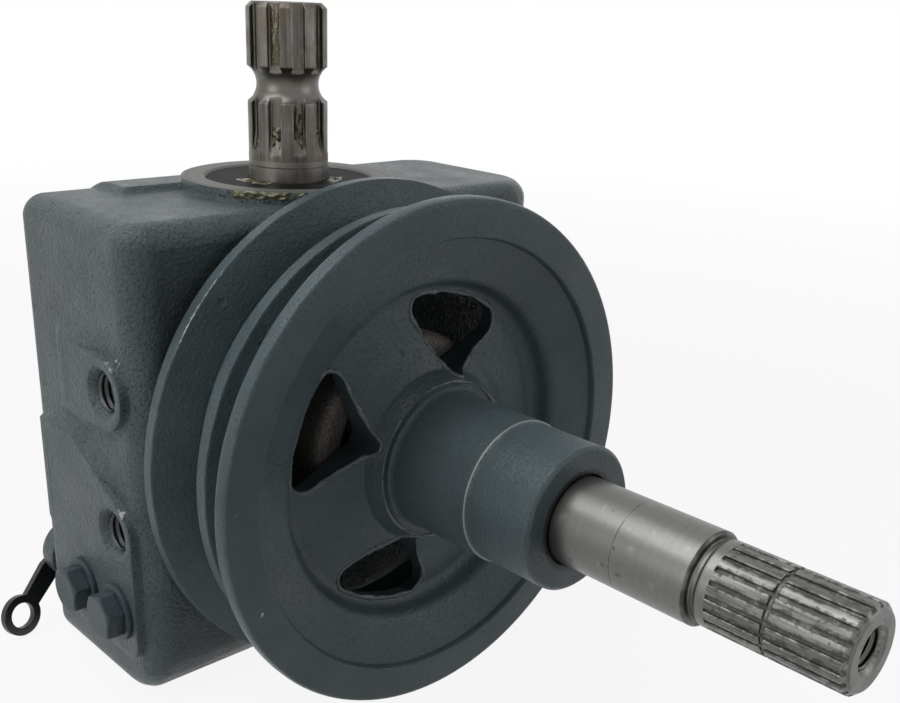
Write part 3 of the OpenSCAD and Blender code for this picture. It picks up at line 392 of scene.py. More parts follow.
hole_chips = [((-0.0784, -0.0245, 0.1098), 0.0020), ((-0.0784, -0.0215, 0.1106), 0.0014),
              ((-0.0784, -0.0240, 0.0640), 0.0014)]
case_paint = painted_iron("case_paint", blue_grey, waves=1.0, pebbles=1.0, holes=1.0, sheen=0.34,
                          bare=machined_ring, chips=hole_chips, edge_wear_and_highlight=0.12, rounding=0.0028, patch=raw_snout)
dress("gear_case", case_paint, angle=32)

# Mounting hole threads
# The four M14 holes are tapped in the case's sides. Their threads are cut in the iron and have taken a
# little overspray at the mouth, so each is a helical ridge of dull dark metal that fills the hole's wall.


def new_piece(name, points, faces, body, material):
    """A smooth piece of mesh that rides on a body."""
    mesh = bpy.data.meshes.new(name)
    mesh.from_pydata(points, [], faces)
    mesh.polygons.foreach_set("use_smooth", [True] * len(mesh.polygons))
    mesh.materials.append(material)
    mesh.update()
    piece = bpy.data.objects.new(name, mesh)
    stand.collection.objects.link(piece)
    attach(piece, body)


def tapped_thread(name, mouth, direction, crest, root, pitch, length, body, material):
    """The thread on a tapped hole's wall, from its mouth inwards along a direction."""
    around, steps = 56, 8
    rows = int(length / pitch * steps)
    turn = Vector(direction).to_track_quat("Z", "Y").to_matrix().to_4x4()
    move = Matrix.Translation(mouth) @ turn
    points, faces = [], []
    for row in range(rows + 1):
        z = row * pitch / steps
        for step in range(around):
            phase = (z / pitch - step / around) % 1.0
            ridge = max(0.0, 1.0 - abs(phase - 0.5) / 0.42)
            radius = root - (root - crest) * min(1.0, ridge * 1.15)
            angle = step * 2 * math.pi / around
            points.append(move @ Vector((radius * math.cos(angle), radius * math.sin(angle), z)))
    for row in range(rows):
        for step in range(around):
            a, b = row * around + step, row * around + (step + 1) % around
            faces.append((a, a + around, b + around, b))
    new_piece(name, points, faces, body, material)


thread_iron, tree, shader, place = start_material("thread_iron")
film = use(tree, stain, {"Place": place, "Scale": 300, "Cover": 0.5, "Soft": 0.2})["Mask"]
fill(tree, shader, {
    "Base Color": mingle(tree, film, (0.055, 0.062, 0.065, 1), (0.13, 0.13, 0.125, 1)),
    "Roughness": fade(tree, film, 0, 1, 0.35, 0.55),
    "Metallic": fade(tree, film, 0, 1, 0.3, 0.8),
    "Normal": add(tree, "ShaderNodeBump", {"Height": grain(tree, place, 2500, 3), "Distance": 0.00003})[0],
})
left_wall = -0.0764
right_wall = 0.0860
hole_ahead = 17.5
upper_rise = 20.8
lower_rise = -23.4
for side, wall, way in (("left", left_wall, 1), ("right", right_wall, -1)):
    for level, rise in (("upper", upper_rise), ("lower", lower_rise)):
        mouth = (wall, -hole_ahead / 1000, shaft_height + rise / 1000)
        tapped_thread("%s_%s_thread" % (side, level), mouth, (way, 0, 0), crest=0.00525, root=0.00596,
                      pitch=0.002, length=0.0198, body="housing", material=thread_iron)

# Side pads
# The flat pads under the mounting holes and the side bolts are cast with the case. Their upper and back
# edges run out softly into the wall, as sand moulded iron does, and the paint runs over them.

pad_radius = 11
pad_rise = 2.0


def pad_arc(rise, start, end):
    """Points on a pad's round edge: how far ahead of and above the shaft they lie, in millimetres."""
    arc = []
    for angle in range(start, end + 1, 5):
        a = math.radians(angle)
        arc.append((hole_ahead + pad_radius * math.cos(a), rise + pad_radius * math.sin(a)))
    return arc


upper_pad = [(-8, upper_rise - pad_radius)] + pad_arc(upper_rise, -90, 90) + [(-8, upper_rise + pad_radius)]
lower_pad = [(-26, -63.5), (28.5, -63.5)] + pad_arc(lower_rise, 0, 55) + [(-4, 1), (-26, 1)]


def clamp(value):
    """The value, or the nearer of 0 and 1."""
    return max(0.0, min(1.0, value))


def beyond(pad, u, v):
    """How far a place lies outside a pad's edge, or less than 0 inside it, in millimetres."""
    nearest, inside = 1e9, False
    for (u0, v0), (u1, v1) in zip(pad, pad[1:] + pad[:1]):
        du, dv = u1 - u0, v1 - v0
        t = clamp(((u - u0) * du + (v - v0) * dv) / (du * du + dv * dv))
        nearest = min(nearest, math.hypot(u - u0 - t * du, v - v0 - t * dv))
        if (v0 > v) != (v1 > v) and u < u0 + (v - v0) * du / dv:
            inside = not inside
    return -nearest if inside else nearest


edge_width = 6.0
back_width = 2.0
edge_hollow = 1.7
hidden_tail = 0.8
hidden_depth = 0.06
tail_slope = 0.4


def run_out(out, width, full, lift, strip):
    """How high a pad's edge stands over the wall where it runs out, and whether it is there.

    full is the share of the pad's rise that it has here, lift is how far it covers the pad, and strip is
    how much of the pad it covers, in millimetres.
    """
    if full <= 0 or out < -strip or out > width + hidden_tail:
        return -1.0, False
    share = clamp(out / width)
    height = full * (pad_rise + lift) * (1 - share) ** edge_hollow - hidden_depth * (1 - full)
    return height - hidden_depth * share - tail_slope * max(0.0, out - width), True


mesh_step = 0.5
mesh_back, mesh_low = -28, -42
mesh_columns, mesh_rows = 92, 170


def soft_pads(name, wall, lift, strip):
    """The soft edges of both pads of one side wall, which stands at x = wall.

    u runs ahead from the shaft's axis and v up from it, in millimetres. Both edges fade out before they
    reach the round front of their pad, and the lower one also at its foot and near the wall's back corner.
    """
    spots, here = {}, {}
    side = 1 if wall > 0 else -1
    for j in range(mesh_rows):
        for i in range(mesh_columns):
            u, v = mesh_back + i * mesh_step, mesh_low + j * mesh_step
            upper = clamp((15 - u) / 12)
            lower = clamp((18 - u) / 10) * clamp((v + 41) / 8)
            width = back_width + (edge_width - back_width) * clamp((u + 26) / 8)
            a, near_upper = run_out(beyond(upper_pad, u, v), edge_width, upper, lift, strip)
            b, near_lower = run_out(beyond(lower_pad, u, v), width, lower, lift, strip)
            spots[i, j] = (wall + side * max(a, b) / 1000, -u / 1000, shaft_height + v / 1000)
            here[i, j] = near_upper or near_lower
    points, faces, number = [], [], {}
    for j in range(mesh_rows - 1):
        for i in range(mesh_columns - 1):
            corners = [(i, j), (i + 1, j), (i + 1, j + 1), (i, j + 1)]
            if all(here[c] for c in corners):
                for c in corners:
                    if c not in number:
                        number[c] = len(points)
                        points.append(spots[c])
                faces.append(tuple(number[c] for c in (corners if side < 0 else corners[::-1])))
    new_piece(name, points, faces, "housing", case_paint)


soft_pads("left_pad_edges", left_wall, lift=0.03, strip=3.2)
soft_pads("right_pad_edges", right_wall, lift=-0.01, strip=0.6)

# Rear cover, gasket and its bolts
# A second iron casting closes the case's back and holds the rear bearing. It sits on an oiled fibre
# gasket under six zinc plated hexagon bolts, which are dull and lightly oversprayed.

cover_paint = painted_iron("cover_paint", blue_grey, waves=0.7, pebbles=0.9, holes=0.8, sheen=0.37, edge_wear_and_highlight=0.12)
dress("rear_cover", cover_paint)

gasket_fibre, tree, shader, place = start_material("gasket_fibre")
fibres = grain(tree, place, 1600, 4, 0.7)
oil = use(tree, stain, {"Place": place, "Scale": 80, "Cover": 0.5, "Soft": 0.2})["Mask"]
fibre_tone = mingle(tree, fibres, (0.09, 0.08, 0.065, 1), (0.17, 0.15, 0.12, 1))
fill(tree, shader, {
    "Base Color": mingle(tree, oil, fibre_tone, (0.05, 0.04, 0.03, 1)),
    "Roughness": fade(tree, oil, 0, 1, 0.85, 0.45),
    "Normal": add(tree, "ShaderNodeBump", {"Height": fibres, "Distance": 0.00008})[0],
})
dress("cover_gasket", gasket_fibre)

plated, tree, shader, place = start_material("zinc_plate")
blotch = use(tree, stain, {"Place": place, "Scale": 160, "Cover": 0.45, "Soft": 0.25})["Mask"]
edges = use(tree, soft_edge, {"Place": place, "Width": 0.0004})
tint = mingle(tree, blotch, (0.25, 0.255, 0.26, 1), (0.15, 0.157, 0.162, 1))
# The edges are painted lighter: worn plating and a painted highlight.
fill(tree, shader, {
    "Base Color": mingle(tree, edges["Edge"], tint, (0.36, 0.36, 0.355, 1)),
    "Roughness": fade(tree, blotch, 0, 1, 0.32, 0.55),
    "Metallic": fade(tree, blotch, 0, 1, 1.0, 0.75),
    "Normal": add(tree, "ShaderNodeBump", {"Height": grain(tree, place, 900, 3), "Distance": 0.00004,
                                           "Normal": edges["Round"]})[0],
})
dress("cover_bolts", plated)

# Side bolts and washers
# Two hexagon bolts with thick washers close oil holes low on the left side. They were in place when the
# case was sprayed, so they wear its paint, a little thicker in the corners.

bolt_paint = painted_iron("bolt_paint", (0.046, 0.063, 0.071), waves=0.15, pebbles=0.35, holes=0.0,
                          sheen=0.4, edge_wear_and_highlight=0.3)
dress("side_bolts", bolt_paint)
dress("side_washers", bolt_paint)

# Bearings
# Three 52 mm ball bearings and a 42 mm one carry the shafts. Races and balls are through hardened,
# ground steel under an oil film. The cages are pressed brass, and the retaining clips are spring steel.


def oiled_steel(name, colour, rough, axis, film_share):
    """Bare machined steel under an oil film, with turning marks across the given axis."""
    material, tree, shader, place = start_material(name)
    rings = use(tree, turning, {"Along": parts_of(tree, place)[axis]})
    film = use(tree, stain, {"Place": place, "Scale": 90, "Cover": film_share, "Soft": 0.3})["Mask"]
    bright = mingle(tree, rings["Tone"], shade(colour, 0.8), shade(colour, 1.15))
    edges = use(tree, soft_edge, {"Place": place, "Width": 0.0003})
    bump = add(tree, "ShaderNodeBump", {"Height": rings["Height"], "Distance": 1.0, "Normal": edges["Round"]})
    fill(tree, shader, {
        "Base Color": mingle(tree, film, bright, (0.12, 0.09, 0.05, 1)),
        "Roughness": fade(tree, film, 0, 1, rough, rough * 0.7),
        "Normal": bump[0],
    })
    shader.inputs["Metallic"].default_value = 1.0
    return material


ground_steel = (0.58, 0.59, 0.60)
upright_bearing = oiled_steel("bearing_steel_upright", ground_steel, rough=0.18, axis="Z", film_share=0.3)
level_bearing = oiled_steel("bearing_steel_level", ground_steel, rough=0.18, axis="Y", film_share=0.3)
for name in ("input_outer_races", "input_inner_races", "input_balls"):
    dress(name, upright_bearing)
for name in ("front_outer_race", "front_inner_race", "front_balls", "rear_outer_race", "rear_inner_race",
             "rear_balls"):
    dress(name, level_bearing)
cage_brass = oiled_steel("cage_brass", (0.55, 0.40, 0.18), rough=0.34, axis="Z", film_share=0.4)
for name in ("input_ball_cages", "front_ball_cage", "rear_ball_cage"):
    dress(name, cage_brass)
spring_steel = oiled_steel("spring_steel", (0.14, 0.14, 0.145), rough=0.42, axis="X", film_share=0.4)
for name in ("input_bore_clip", "output_bore_clip", "input_gear_clip", "output_gear_clip", "rear_clip"):
    dress(name, spring_steel)

# Shaft seals
# Two 52 mm seals of black rubber on a steel shell keep the oil in. The upper one shows inside the ring,
# with dust in the fine rings of its face. The dipstick's sealing ring is of the same rubber.

seal_rubber, tree, shader, place = start_material("seal_rubber")
powder = use(tree, stain, {"Place": place, "Scale": 110, "Cover": 0.5, "Soft": 0.22})["Mask"]
coords = parts_of(tree, place)
rings = use(tree, turning, {"Along": from_axis(tree, coords["X"], coords["Y"])})["Tone"]
powder = maths(tree, "MULTIPLY", powder, fade(tree, rings, 0.46, 0.58, 0.0, 1.0))
fill(tree, shader, {
    "Base Color": mingle(tree, powder, (0.003, 0.003, 0.003, 1), (0.085, 0.083, 0.08, 1)),
    "Roughness": fade(tree, powder, 0, 1, 0.5, 0.85),
    "Normal": add(tree, "ShaderNodeBump", {"Height": grain(tree, place, 1200, 3), "Distance": 0.00005})[0],
})
shader.inputs["Specular IOR Level"].default_value = 0.04
for name in ("input_seal", "output_seal", "dipstick_ring"):
    dress(name, seal_rubber)

# Bevel gears, keys and spacer
# A pair of straight bevel gears of 20 and 17 teeth turns the drive through a right angle. They are cut
# and hardened steel, dark with oil, and each is driven by a square key.

hard_steel = (0.26, 0.26, 0.265)
tooth_angle = 20
upright_gear = oiled_steel("gear_steel_upright", hard_steel, rough=0.3, axis="Z", film_share=0.5)
level_gear = oiled_steel("gear_steel_level", hard_steel, rough=0.3, axis="Y", film_share=0.5)
for name in ("input_bevel_gear", "input_gear_key"):
    dress(name, upright_gear, tooth_angle)
for name in ("output_bevel_gear", "output_gear_key", "pulley_key"):
    dress(name, level_gear, tooth_angle)
dress("input_spacer", upright_bearing)

# Input shaft
# A 25 mm steel shaft with ten hobbed teeth and a locking groove. It is bare metal that has been handled:
# brownish film and rust specks, a scribed line below the teeth, and old grease in the gaps.


def shaft_steel(name, colour, rough, axis, bands, lines, rust, spline, neck=(0.0, 0.0), lightened=(0.0, 0.0),
                dark_gap_teeth=0, scuffs=()):
    """Handled bare shaft steel.

    lines are dark rings: places on the axis, half widths and strengths. spline, neck and the stretch after
    them mark the axis: the teeth, the groove turned in them, and a band painted lighter as a highlight. The
    teeth are counted for the darker bands painted between them, and scuffs are spots with their sizes.
    """
    material, tree, shader, place = start_material(name)
    coords = parts_of(tree, place)
    along = coords[axis]
    rings = use(tree, turning, {"Along": along})
    edges = use(tree, soft_edge, {"Place": place, "Width": 0.0008})
    squeeze = [30 if letter == axis else 700 for letter in "XYZ"]
    stretched = add(tree, "ShaderNodeVectorMath", {0: place, 1: squeeze}, operation="MULTIPLY")[0]
    streaks = grain(tree, stretched, 1.0, 4, 0.65)
    off_neck = maths(tree, "SUBTRACT", 1.0, between(tree, along, *neck))
    splined = maths(tree, "MULTIPLY", between(tree, along, *spline), off_neck)
    bright = mingle(tree, rings["Tone"], shade(colour, 1 - bands), shade(colour, 1 + bands))
    hobbed = mingle(tree, fade(tree, streaks, 0.3, 0.7), shade(colour, 0.42), shade(colour, 1.4))
    metal = mingle(tree, splined, bright, hobbed)
    film = use(tree, stain, {"Place": place, "Scale": 75, "Cover": rust, "Soft": 0.25})["Mask"]
    specks = use(tree, stain, {"Place": place, "Scale": 520, "Cover": 0.34, "Soft": 0.06})["Mask"]
    worn_and_lit = use(tree, stain, {"Place": place, "Scale": 240, "Cover": 0.42, "Soft": 0.2})["Mask"]
    # A band of the shaft is painted lighter, as a highlight.
    highlight_band = maths(tree, "MULTIPLY", between(tree, along, *lightened), 0.8)
    worn_and_lit = maths(tree, "MAXIMUM", worn_and_lit, highlight_band)
    for mask, strength, tone in (
        (film, 0.55, (0.105, 0.08, 0.052, 1)),
        (specks, 0.7, (0.045, 0.034, 0.026, 1)),
        (worn_and_lit, 0.55, shade(colour, 1.7)),
        # Edges painted lighter: worn metal and a painted highlight.
        (edges["Edge"], 0.6, shade(colour, 2.2)),
    ):
        metal = mingle(tree, maths(tree, "MULTIPLY", mask, strength), metal, tone)
    # Bands between the teeth are painted darker.
    gap_darkening = 0.0
    if dark_gap_teeth:
        pitch = 2 * math.pi / dark_gap_teeth
        turn = maths(tree, "ARCTAN2", coords["X"], maths(tree, "SUBTRACT", coords["Z"], shaft_height))
        beside = maths(tree, "SUBTRACT", maths(tree, "FLOORED_MODULO", turn, pitch), pitch / 2)
        beside = maths(tree, "ABSOLUTE", beside)
        ragged = maths(tree, "SUBTRACT", grain(tree, place, 380, 4, 0.7), 0.5)
        ragged = maths(tree, "MULTIPLY_ADD", ragged, pitch * 1.7, beside)
        outer = maths(tree, "GREATER_THAN", from_shaft(tree, coords["X"], coords["Z"]), 0.0095)
        gap_darkening = maths(tree, "MULTIPLY", fade(tree, ragged, pitch * 0.12, pitch * 0.33, 0.7, 0.0), splined)
        gap_darkening = maths(tree, "MULTIPLY", gap_darkening, outer)
        metal = mingle(tree, gap_darkening, metal, (0.045, 0.042, 0.038, 1))
    height = maths(tree, "MULTIPLY_ADD", maths(tree, "MULTIPLY", streaks, splined), 0.00008, rings["Height"])
    height = maths(tree, "MULTIPLY_ADD", specks, -0.00002, height)
    height = maths(tree, "MULTIPLY_ADD", worn_and_lit, 0.000025, height)
    for spot, half, strength in lines:
        dark_ring = maths(tree, "MULTIPLY", between(tree, along, spot - half, spot + half), strength)
        faint = fade(tree, grain(tree, place, 190, 3), 0.42, 0.56, 0.45, 1.0)
        metal = mingle(tree, maths(tree, "MULTIPLY", dark_ring, faint), metal, (0.03, 0.028, 0.025, 1))
    for spot, size in scuffs:
        scuff = use(tree, chip, {"Place": place, "Spot": spot, "Size": size})["Mask"]
        metal = mingle(tree, maths(tree, "MULTIPLY", scuff, 0.5), metal, (0.04, 0.038, 0.035, 1))
        height = maths(tree, "MULTIPLY_ADD", scuff, -0.00004, height)
    bump = add(tree, "ShaderNodeBump", {"Height": height, "Distance": 1.0, "Normal": edges["Round"]})
    coarse = maths(tree, "MAXIMUM", maths(tree, "MAXIMUM", film, specks), gap_darkening)
    fill(tree, shader, {
        "Base Color": metal,
        "Roughness": maths(tree, "MULTIPLY_ADD", coarse, 0.22, rough),
        "Metallic": fade(tree, specks, 0, 1, 1.0, 0.6),
        "Normal": bump[0],
    })
    return material


# The input shaft's foot is painted lighter as a highlight.
input_steel = shaft_steel(
    "input_shaft_steel", (0.122, 0.117, 0.107), rough=0.31, axis="Z", bands=0.2,
    lines=[(0.1558, 0.00018, 0.8)], rust=0.58,
    spline=(0.158, 0.21), neck=(0.1762, 0.1852), lightened=(0.150, 0.1575),
)
dress("input_shaft", input_steel, angle=24)

# Grease and sealant
# Old amber grease sits in the gaps of the input spline and in two smears on the seal's face. Yellow brown
# sealant has dried on the outside of the machined ring. All are soft, uneven dabs that stick to the piece.

amber, tree, shader, place = start_material("old_grease")
dirt = use(tree, stain, {"Place": place, "Scale": 420, "Cover": 0.5, "Soft": 0.2})["Mask"]
fill(tree, shader, {
    "Base Color": mingle(tree, dirt, (0.105, 0.082, 0.024, 1), (0.035, 0.028, 0.014, 1)),
    "Roughness": fade(tree, dirt, 0, 1, 0.16, 0.45),
    "Normal": add(tree, "ShaderNodeBump", {"Height": grain(tree, place, 1500, 3), "Distance": 0.0003})[0],
})
shader.inputs["Coat Weight"].default_value = 0.4


def dab(name, place_of, across, along, thick, seed, body, material, cover):
    """An uneven dab on a surface: place_of(u, v, h) gives the point at u, v on it, h above it."""
    points, faces, level = [], [], {}
    for j in range(along + 1):
        for i in range(across + 1):
            u, v = i / across, j / along
            rim_fade = min(1.0, 6 * min(u, 1 - u) + 0.15) * min(1.0, 8 * min(v, 1 - v))
            lump = noise.noise(Vector((u * 2.2 + seed, v * along * 0.16, seed * 1.7)))
            lump += 0.5 * noise.noise(Vector((u * 5 + seed, v * along * 0.45, 3.1)))
            level[i, j] = thick * (0.8 * lump + cover) * rim_fade
            points.append(place_of(u, v, max(level[i, j], -0.00002)))
    for j in range(along):
        for i in range(across):
            if max(level[i, j], level[i + 1, j], level[i, j + 1], level[i + 1, j + 1]) > 0:
                a = j * (across + 1) + i
                faces.append((a, a + 1, a + across + 2, a + across + 1))
    used = sorted({k for face in faces for k in face})
    order = {k: n for n, k in enumerate(used)}
    new_piece(name, [points[k] for k in used], [tuple(order[k] for k in face) for face in faces],
              body, material)


gap_floor = 0.0106
gap_width = 0.0030
gap_pitch = 36
first_gap = -181
gap_dabs = [
    (0, 0.1595, 0.165, 0.0008, 2.0),
    (1, 0.160, 0.168, 0.0014, 5.3),
    (2, 0.160, 0.1755, 0.0015, 7.7),
    (3, 0.160, 0.168, 0.0010, 1.1),
    (1, 0.1860, 0.2034, 0.0007, 9.4),
    (9, 0.160, 0.170, 0.0011, 4.2),
]
for tooth, low, high, thick, seed in gap_dabs:
    turn = math.radians(first_gap + gap_pitch * tooth)

    def in_gap(u, v, h, turn=turn, low=low, high=high):
        side = (u - 0.5) * gap_width
        out = gap_floor + h
        return (out * math.cos(turn) - side * math.sin(turn), out * math.sin(turn) + side * math.cos(turn),
                low + v * (high - low))

    name = "grease_%d_%d" % (tooth, int(low * 10000))
    dab(name, in_gap, 8, 26, thick, seed, "input_drive", amber, cover=0.5)

sealant, tree, shader, place = start_material("yellow_sealant")
dirt = use(tree, stain, {"Place": place, "Scale": 500, "Cover": 0.45, "Soft": 0.25})["Mask"]
fill(tree, shader, {
    "Base Color": mingle(tree, dirt, (0.125, 0.120, 0.065, 1), (0.045, 0.042, 0.028, 1)),
    "Roughness": fade(tree, dirt, 0, 1, 0.25, 0.6),
    "Normal": add(tree, "ShaderNodeBump", {"Height": grain(tree, place, 1500, 3), "Distance": 0.00012})[0],
})
ring_wall = 0.03392
for start, end, low, high, seed in ((-155, -124, 0.1498, 0.1522, 1.3), (-122, -108, 0.1506, 0.1522, 6.1)):

    def on_wall(u, v, h, start=start, end=end, low=low, high=high):
        angle = math.radians(start + v * (end - start))
        out = ring_wall + h
        return out * math.cos(angle), out * math.sin(angle), low + u * (high - low)

    name = "sealant_%d" % (start + 200)
    dab(name, on_wall, 10, 60, 0.0011, seed, "housing", sealant, cover=0.2)

seal_face = 0.1515
for start, end, low, high, seed in ((-196, -148, 0.0131, 0.0178, 3.9), (-70, -30, 0.0131, 0.0170, 8.2)):

    def on_seal(u, v, h, start=start, end=end, low=low, high=high):
        angle = math.radians(start + v * (end - start))
        out = low + u * (high - low)
        return out * math.cos(angle), out * math.sin(angle), seal_face + h

    name = "seal_smear_%d" % (start + 200)
    dab(name, on_seal, 14, 50, 0.0007, seed, "housing", amber, cover=0.05)

# Output shaft
# A 25 mm shaft runs through the pulley's hub to a ground journal, and ends in a stub with twenty fine
# teeth and a tapped hole. It is brighter than the input shaft, with scuffs and one fine scribed line.

# Its dark rings are the scribed line, a darkened annular groove and a darkened shaft end.
output_steel = shaft_steel(
    "output_shaft_steel", (0.160, 0.159, 0.151), rough=0.36, axis="Y", bands=0.06,
    lines=[(-0.1502, 0.00012, 0.9), (-0.1722, 0.0004, 0.8), (-0.2140, 0.0004, 0.5)], rust=0.3,
    spline=(-0.2135, -0.1775), dark_gap_teeth=20,
    scuffs=[((-0.0113, -0.1371, 0.0731), 0.0009), ((-0.0124, -0.1483, 0.0767), 0.0006),
            ((-0.0122, -0.1530, 0.0758), 0.0008), ((-0.0116, -0.1440, 0.0738), 0.0004)],
)
dress("output_shaft", output_steel, angle=24)
thread_steel = oiled_steel("thread_steel", (0.13, 0.128, 0.12), rough=0.35, axis="Y", film_share=0.5)
tapped_thread("shaft_end_thread", (0, -0.2126, shaft_height), (0, 1, 0), crest=0.00442, root=0.00506,
              pitch=0.00175, length=0.0255, body="output_drive", material=thread_steel)

# Belt pulley
# An iron casting with two turned belt grooves, four cast windows and a long hub that is keyed to the
# shaft. Its satin paint has gathered in thick glossy ridges along the windows' edges and is rubbed off on the
# hub's step. The rear rim's corner carries a bright line on its upper left only, partly rubbed paint and
# partly a painted highlight, and black painted shade lies round the hub's mouth, where the shaft comes out.

step_band = (-0.10725, -0.1068)
step_ring = (0.0204, 0.0215)
hub_bore = 0.0128
hub_back = -0.045
hub_mouth = -0.1215
rim_radius = 0.078
rim_front = 0.0424
highlight_turn = 2.478


def hub_step(tree, place):
    """The hub step's bared edge, the bare bore, and the rear rim's corner, bared and lit as a painted
    highlight.
    """
    x, y, z = parts_of(tree, place)
    out = from_shaft(tree, x, z)
    step = maths(tree, "MULTIPLY", between(tree, y, *step_band), between(tree, out, *step_ring))
    ahead = maths(tree, "LESS_THAN", y, hub_back)
    bore = maths(tree, "MULTIPLY", maths(tree, "LESS_THAN", out, hub_bore), ahead)
    corner = {"X": maths(tree, "SUBTRACT", out, rim_radius), "Y": maths(tree, "ADD", y, rim_front)}
    corner = add(tree, "ShaderNodeCombineXYZ", corner)[0]
    away = add(tree, "ShaderNodeVectorMath", {0: corner}, operation="LENGTH")["Value"]
    # The rear rim's corner is bright near one turn only, toward the lamps: partly bared paint, partly a
    # painted highlight.
    rim_highlight = maths(tree, "MULTIPLY_ADD", grain(tree, place, 700, 4, 0.7), 0.0011, away)
    turn = maths(tree, "ARCTAN2", maths(tree, "SUBTRACT", z, shaft_height), x)
    aside = maths(tree, "ABSOLUTE", maths(tree, "SUBTRACT", turn, highlight_turn))
    rim_highlight = maths(tree, "MULTIPLY", fade(tree, rim_highlight, 0.0008, 0.0005), fade(tree, aside, 0.10, 0.19, 0.8, 0.0))
    bare = maths(tree, "MAXIMUM", maths(tree, "MULTIPLY", step, 0.35), bore)
    return maths(tree, "MAXIMUM", bare, rim_highlight), y


def shaded_mouth(tree, place):
    """Black painted shade round the hub's mouth, where the shaft goes into the hub's recess."""
    x, y, z = parts_of(tree, place)
    ragged = maths(tree, "MULTIPLY_ADD", grain(tree, place, 260, 3), -0.0016, from_shaft(tree, x, z))
    ahead = maths(tree, "LESS_THAN", y, hub_mouth)
    reach = maths(tree, "MULTIPLY", fade(tree, ragged, 0.0139, 0.0131), ahead)
    return reach, (0.008, 0.008, 0.009, 1), (0.02, 0.021, 0.022, 1)


rim_chips = [((-0.0672, -0.0790, 0.0515), 0.0007), ((-0.0300, -0.0600, 0.1466), 0.0008)]
# The light metal tones make the hub step's bared edge and the rear rim's painted highlight bright.
pulley_paint = painted_iron("pulley_paint", (0.071, 0.097, 0.106), waves=0.35, pebbles=0.4, holes=0.6,
                            # The black patch round the hub's mouth is painted shade.
                            sheen=0.36, bare=hub_step, chips=rim_chips, edge_wear_and_highlight=0.75, patch=shaded_mouth,
                            metal_tones=((0.4, 0.4, 0.39, 1), (0.7, 0.7, 0.68, 1)))
for name in ("pulley", "front_flange", "middle_flange", "rear_flange"):
    dress(name, pulley_paint)


def on_pulley(out, turn, ahead):
    """A point at a radius, an angle and a distance in front of the input axis, given in millimetres."""
    return out * math.cos(turn) / 1000, -ahead / 1000, shaft_height + out * math.sin(turn) / 1000


# The dish's soft lip: the profile's radii and fronts, from the face inwards, in millimetres.
lip_steps = 180
lip = [(66.25, 77.04), (65.4, 76.78), (60.0, 74.7), (56.0, 73.15), (54.4, 72.5), (53.5, 71.95), (52.8, 71.2),
       (52.3, 70.3), (51.8, 69.1), (51.3, 68.0), (50.6, 67.1), (49.9, 66.65), (49.3, 66.3)]
points, faces = [], []
for row, (out, ahead) in enumerate(lip):
    for step in range(lip_steps):
        points.append(on_pulley(out, step * 2 * math.pi / lip_steps, ahead))
        if row:
            a, b = (row - 1) * lip_steps + step, (row - 1) * lip_steps + (step + 1) % lip_steps
            faces.append((a, b, b + lip_steps, a + lip_steps))
new_piece("dish_lip", points, faces, "output_drive", pulley_paint)

ridge_paint = painted_iron("ridge_paint", (0.080, 0.106, 0.113), waves=0.0, pebbles=0.6, holes=0.0,
                           sheen=0.16)
ridge_paint.node_tree.nodes["Principled BSDF"].inputs["Specular IOR Level"].default_value = 0.4

# The windows lie in the dish, whose radii and fronts follow from the hub outwards, in millimetres.
dish = [(24.2, 77.1), (25.0, 75.5), (27.0, 72.0), (34.0, 68.6), (48.0, 66.0), (51.5, 67.2), (66.2, 77.0)]
window_turns = (74, 159.5, 249.5, 336)
window_reach = 44
bead_sides = 8


def dish_height(radius):
    """How far in front of the input axis the pulley's front lies at a radius, in millimetres."""
    for (r0, y0), (r1, y1) in zip(dish, dish[1:]):
        if radius <= r1:
            return y0 + (y1 - y0) * (radius - r0) / (r1 - r0)
    return dish[-1][1]


def window_rim(count):
    """Points round one window of the pulley, evenly spaced, in millimetres, with the window on +X."""
    discs = []
    for angle in (-17, -8.5, 0, 8.5, 17):
        a = math.radians(angle)
        discs.append((window_reach * math.cos(a), window_reach * math.sin(a), 5.0))
    discs.append((29.5, 0.0, 4.5))
    loop = []
    headings = 720
    for k in range(headings):
        heading = k * 2 * math.pi / headings
        nx, ny = math.cos(heading), math.sin(heading)
        cx, cy, r = max(discs, key=lambda d: d[0] * nx + d[1] * ny + d[2])
        loop.append((cx + r * nx, cy + r * ny))
    lengths = [0.0]
    for a, b in zip(loop, loop[1:] + loop[:1]):
        lengths.append(lengths[-1] + math.dist(a, b))
    rim, at = [], 0
    for k in range(count):
        goal = lengths[-1] * k / count
        while lengths[at + 1] < goal:
            at += 1
        a, b = loop[at], loop[(at + 1) % len(loop)]
        share = (goal - lengths[at]) / max(lengths[at + 1] - lengths[at], 1e-9)
        rim.append((a[0] + (b[0] - a[0]) * share, a[1] + (b[1] - a[1]) * share))
    return rim


def bead_faces(rows):
    """The faces of a closed bead with that many rows of points round it."""
    total = rows * bead_sides
    faces = []
    for k in range(rows):
        for step in range(bead_sides):
            a, b = k * bead_sides + step, k * bead_sides + (step + 1) % bead_sides
            faces.append((a, b, (b + bead_sides) % total, (a + bead_sides) % total))
    return faces


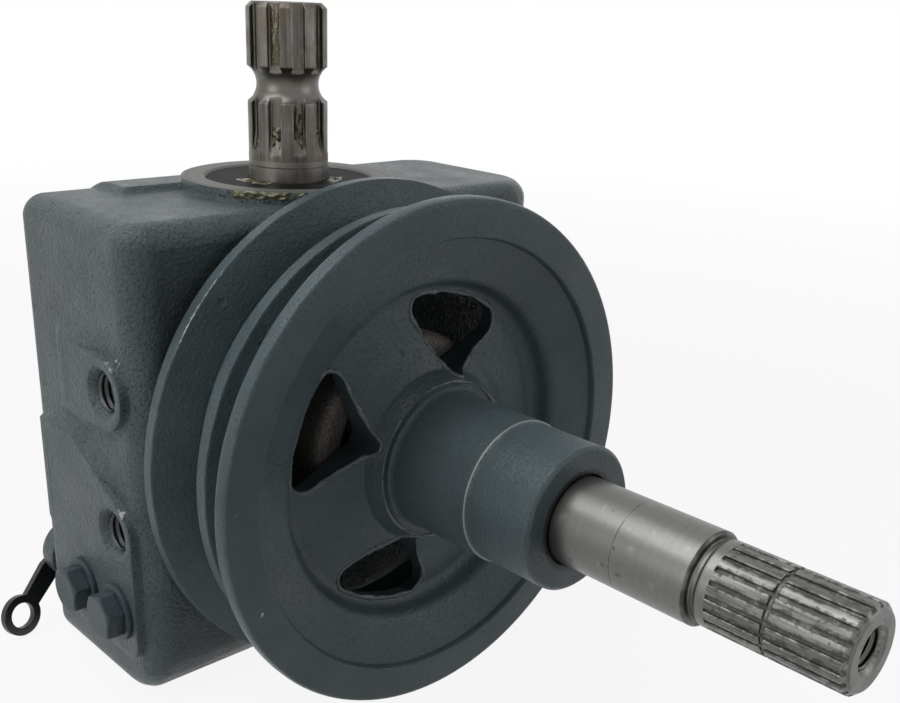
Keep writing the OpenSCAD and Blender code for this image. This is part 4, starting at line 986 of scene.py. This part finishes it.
rim = window_rim(150)
for number, turn in enumerate(window_turns):
    points = []
    for k, (x, y) in enumerate(rim):
        before, after = rim[k - 1], rim[(k + 1) % len(rim)]
        tangent = Vector((after[0] - before[0], after[1] - before[1], 0)).normalized()
        outward = Vector((tangent.y, -tangent.x, 0))
        swell = noise.noise(Vector((k * 0.13, number * 7.3, 0.5)))
        swell += 0.4 * noise.noise(Vector((k * 0.5, number * 3.1, 2.0)))
        bead = 0.75 + 0.55 * swell
        centre = Vector((x, y, dish_height(math.hypot(x, y)) - 0.15))
        for step in range(bead_sides):
            a = step * 2 * math.pi / bead_sides
            spot = centre + outward * (bead * math.cos(a)) + Vector((0, 0, 0.75 * bead * math.sin(a)))
            angle = math.atan2(spot.y, spot.x) + math.radians(turn)
            points.append(on_pulley(math.hypot(spot.x, spot.y), angle, spot.z))
    faces = bead_faces(len(rim))
    new_piece("window_ridge_%d" % (number + 1), points, faces, "output_drive", ridge_paint)

foot_radius, foot_front = 24.1, 77.0
foot_steps = 240
points = []
for k in range(foot_steps):
    turn = k * 2 * math.pi / foot_steps
    swell = noise.noise(Vector((3 * math.cos(turn), 3 * math.sin(turn), 5.0)))
    swell += 0.5 * noise.noise(Vector((9 * math.cos(turn), 9 * math.sin(turn), 1.0)))
    bead = max(0.2, 0.55 + 0.6 * swell)
    for step in range(bead_sides):
        a = step * 2 * math.pi / bead_sides
        ahead = foot_front + 0.7 * bead * math.sin(a)
        points.append(on_pulley(foot_radius + bead * math.cos(a), turn, ahead))
new_piece("hub_foot_ridge", points, bead_faces(foot_steps), "output_drive", ridge_paint)

# Dipstick
# A black rubber plug with a strap and a pull ring, moulded in one, closes the level hole at the back of
# the case. A thin steel rod in it shows the oil's level.

plug_rubber, tree, shader, place = start_material("plug_rubber")
powder = use(tree, stain, {"Place": place, "Scale": 200, "Cover": 0.4, "Soft": 0.3})["Mask"]
edges = use(tree, soft_edge, {"Place": place, "Width": 0.0005})
fill(tree, shader, {
    "Base Color": mingle(tree, powder, (0.007, 0.007, 0.008, 1), (0.018, 0.018, 0.018, 1)),
    "Roughness": fade(tree, powder, 0, 1, 0.28, 0.45),
    "Normal": add(tree, "ShaderNodeBump", {"Height": grain(tree, place, 600, 3), "Distance": 0.00006,
                                           "Normal": edges["Round"]})[0],
})
dress("dipstick_plug", plug_rubber)
rod_steel = oiled_steel("rod_steel", (0.38, 0.37, 0.35), rough=0.3, axis="Y", film_share=0.5)
dress("dipstick_rod", rod_steel)
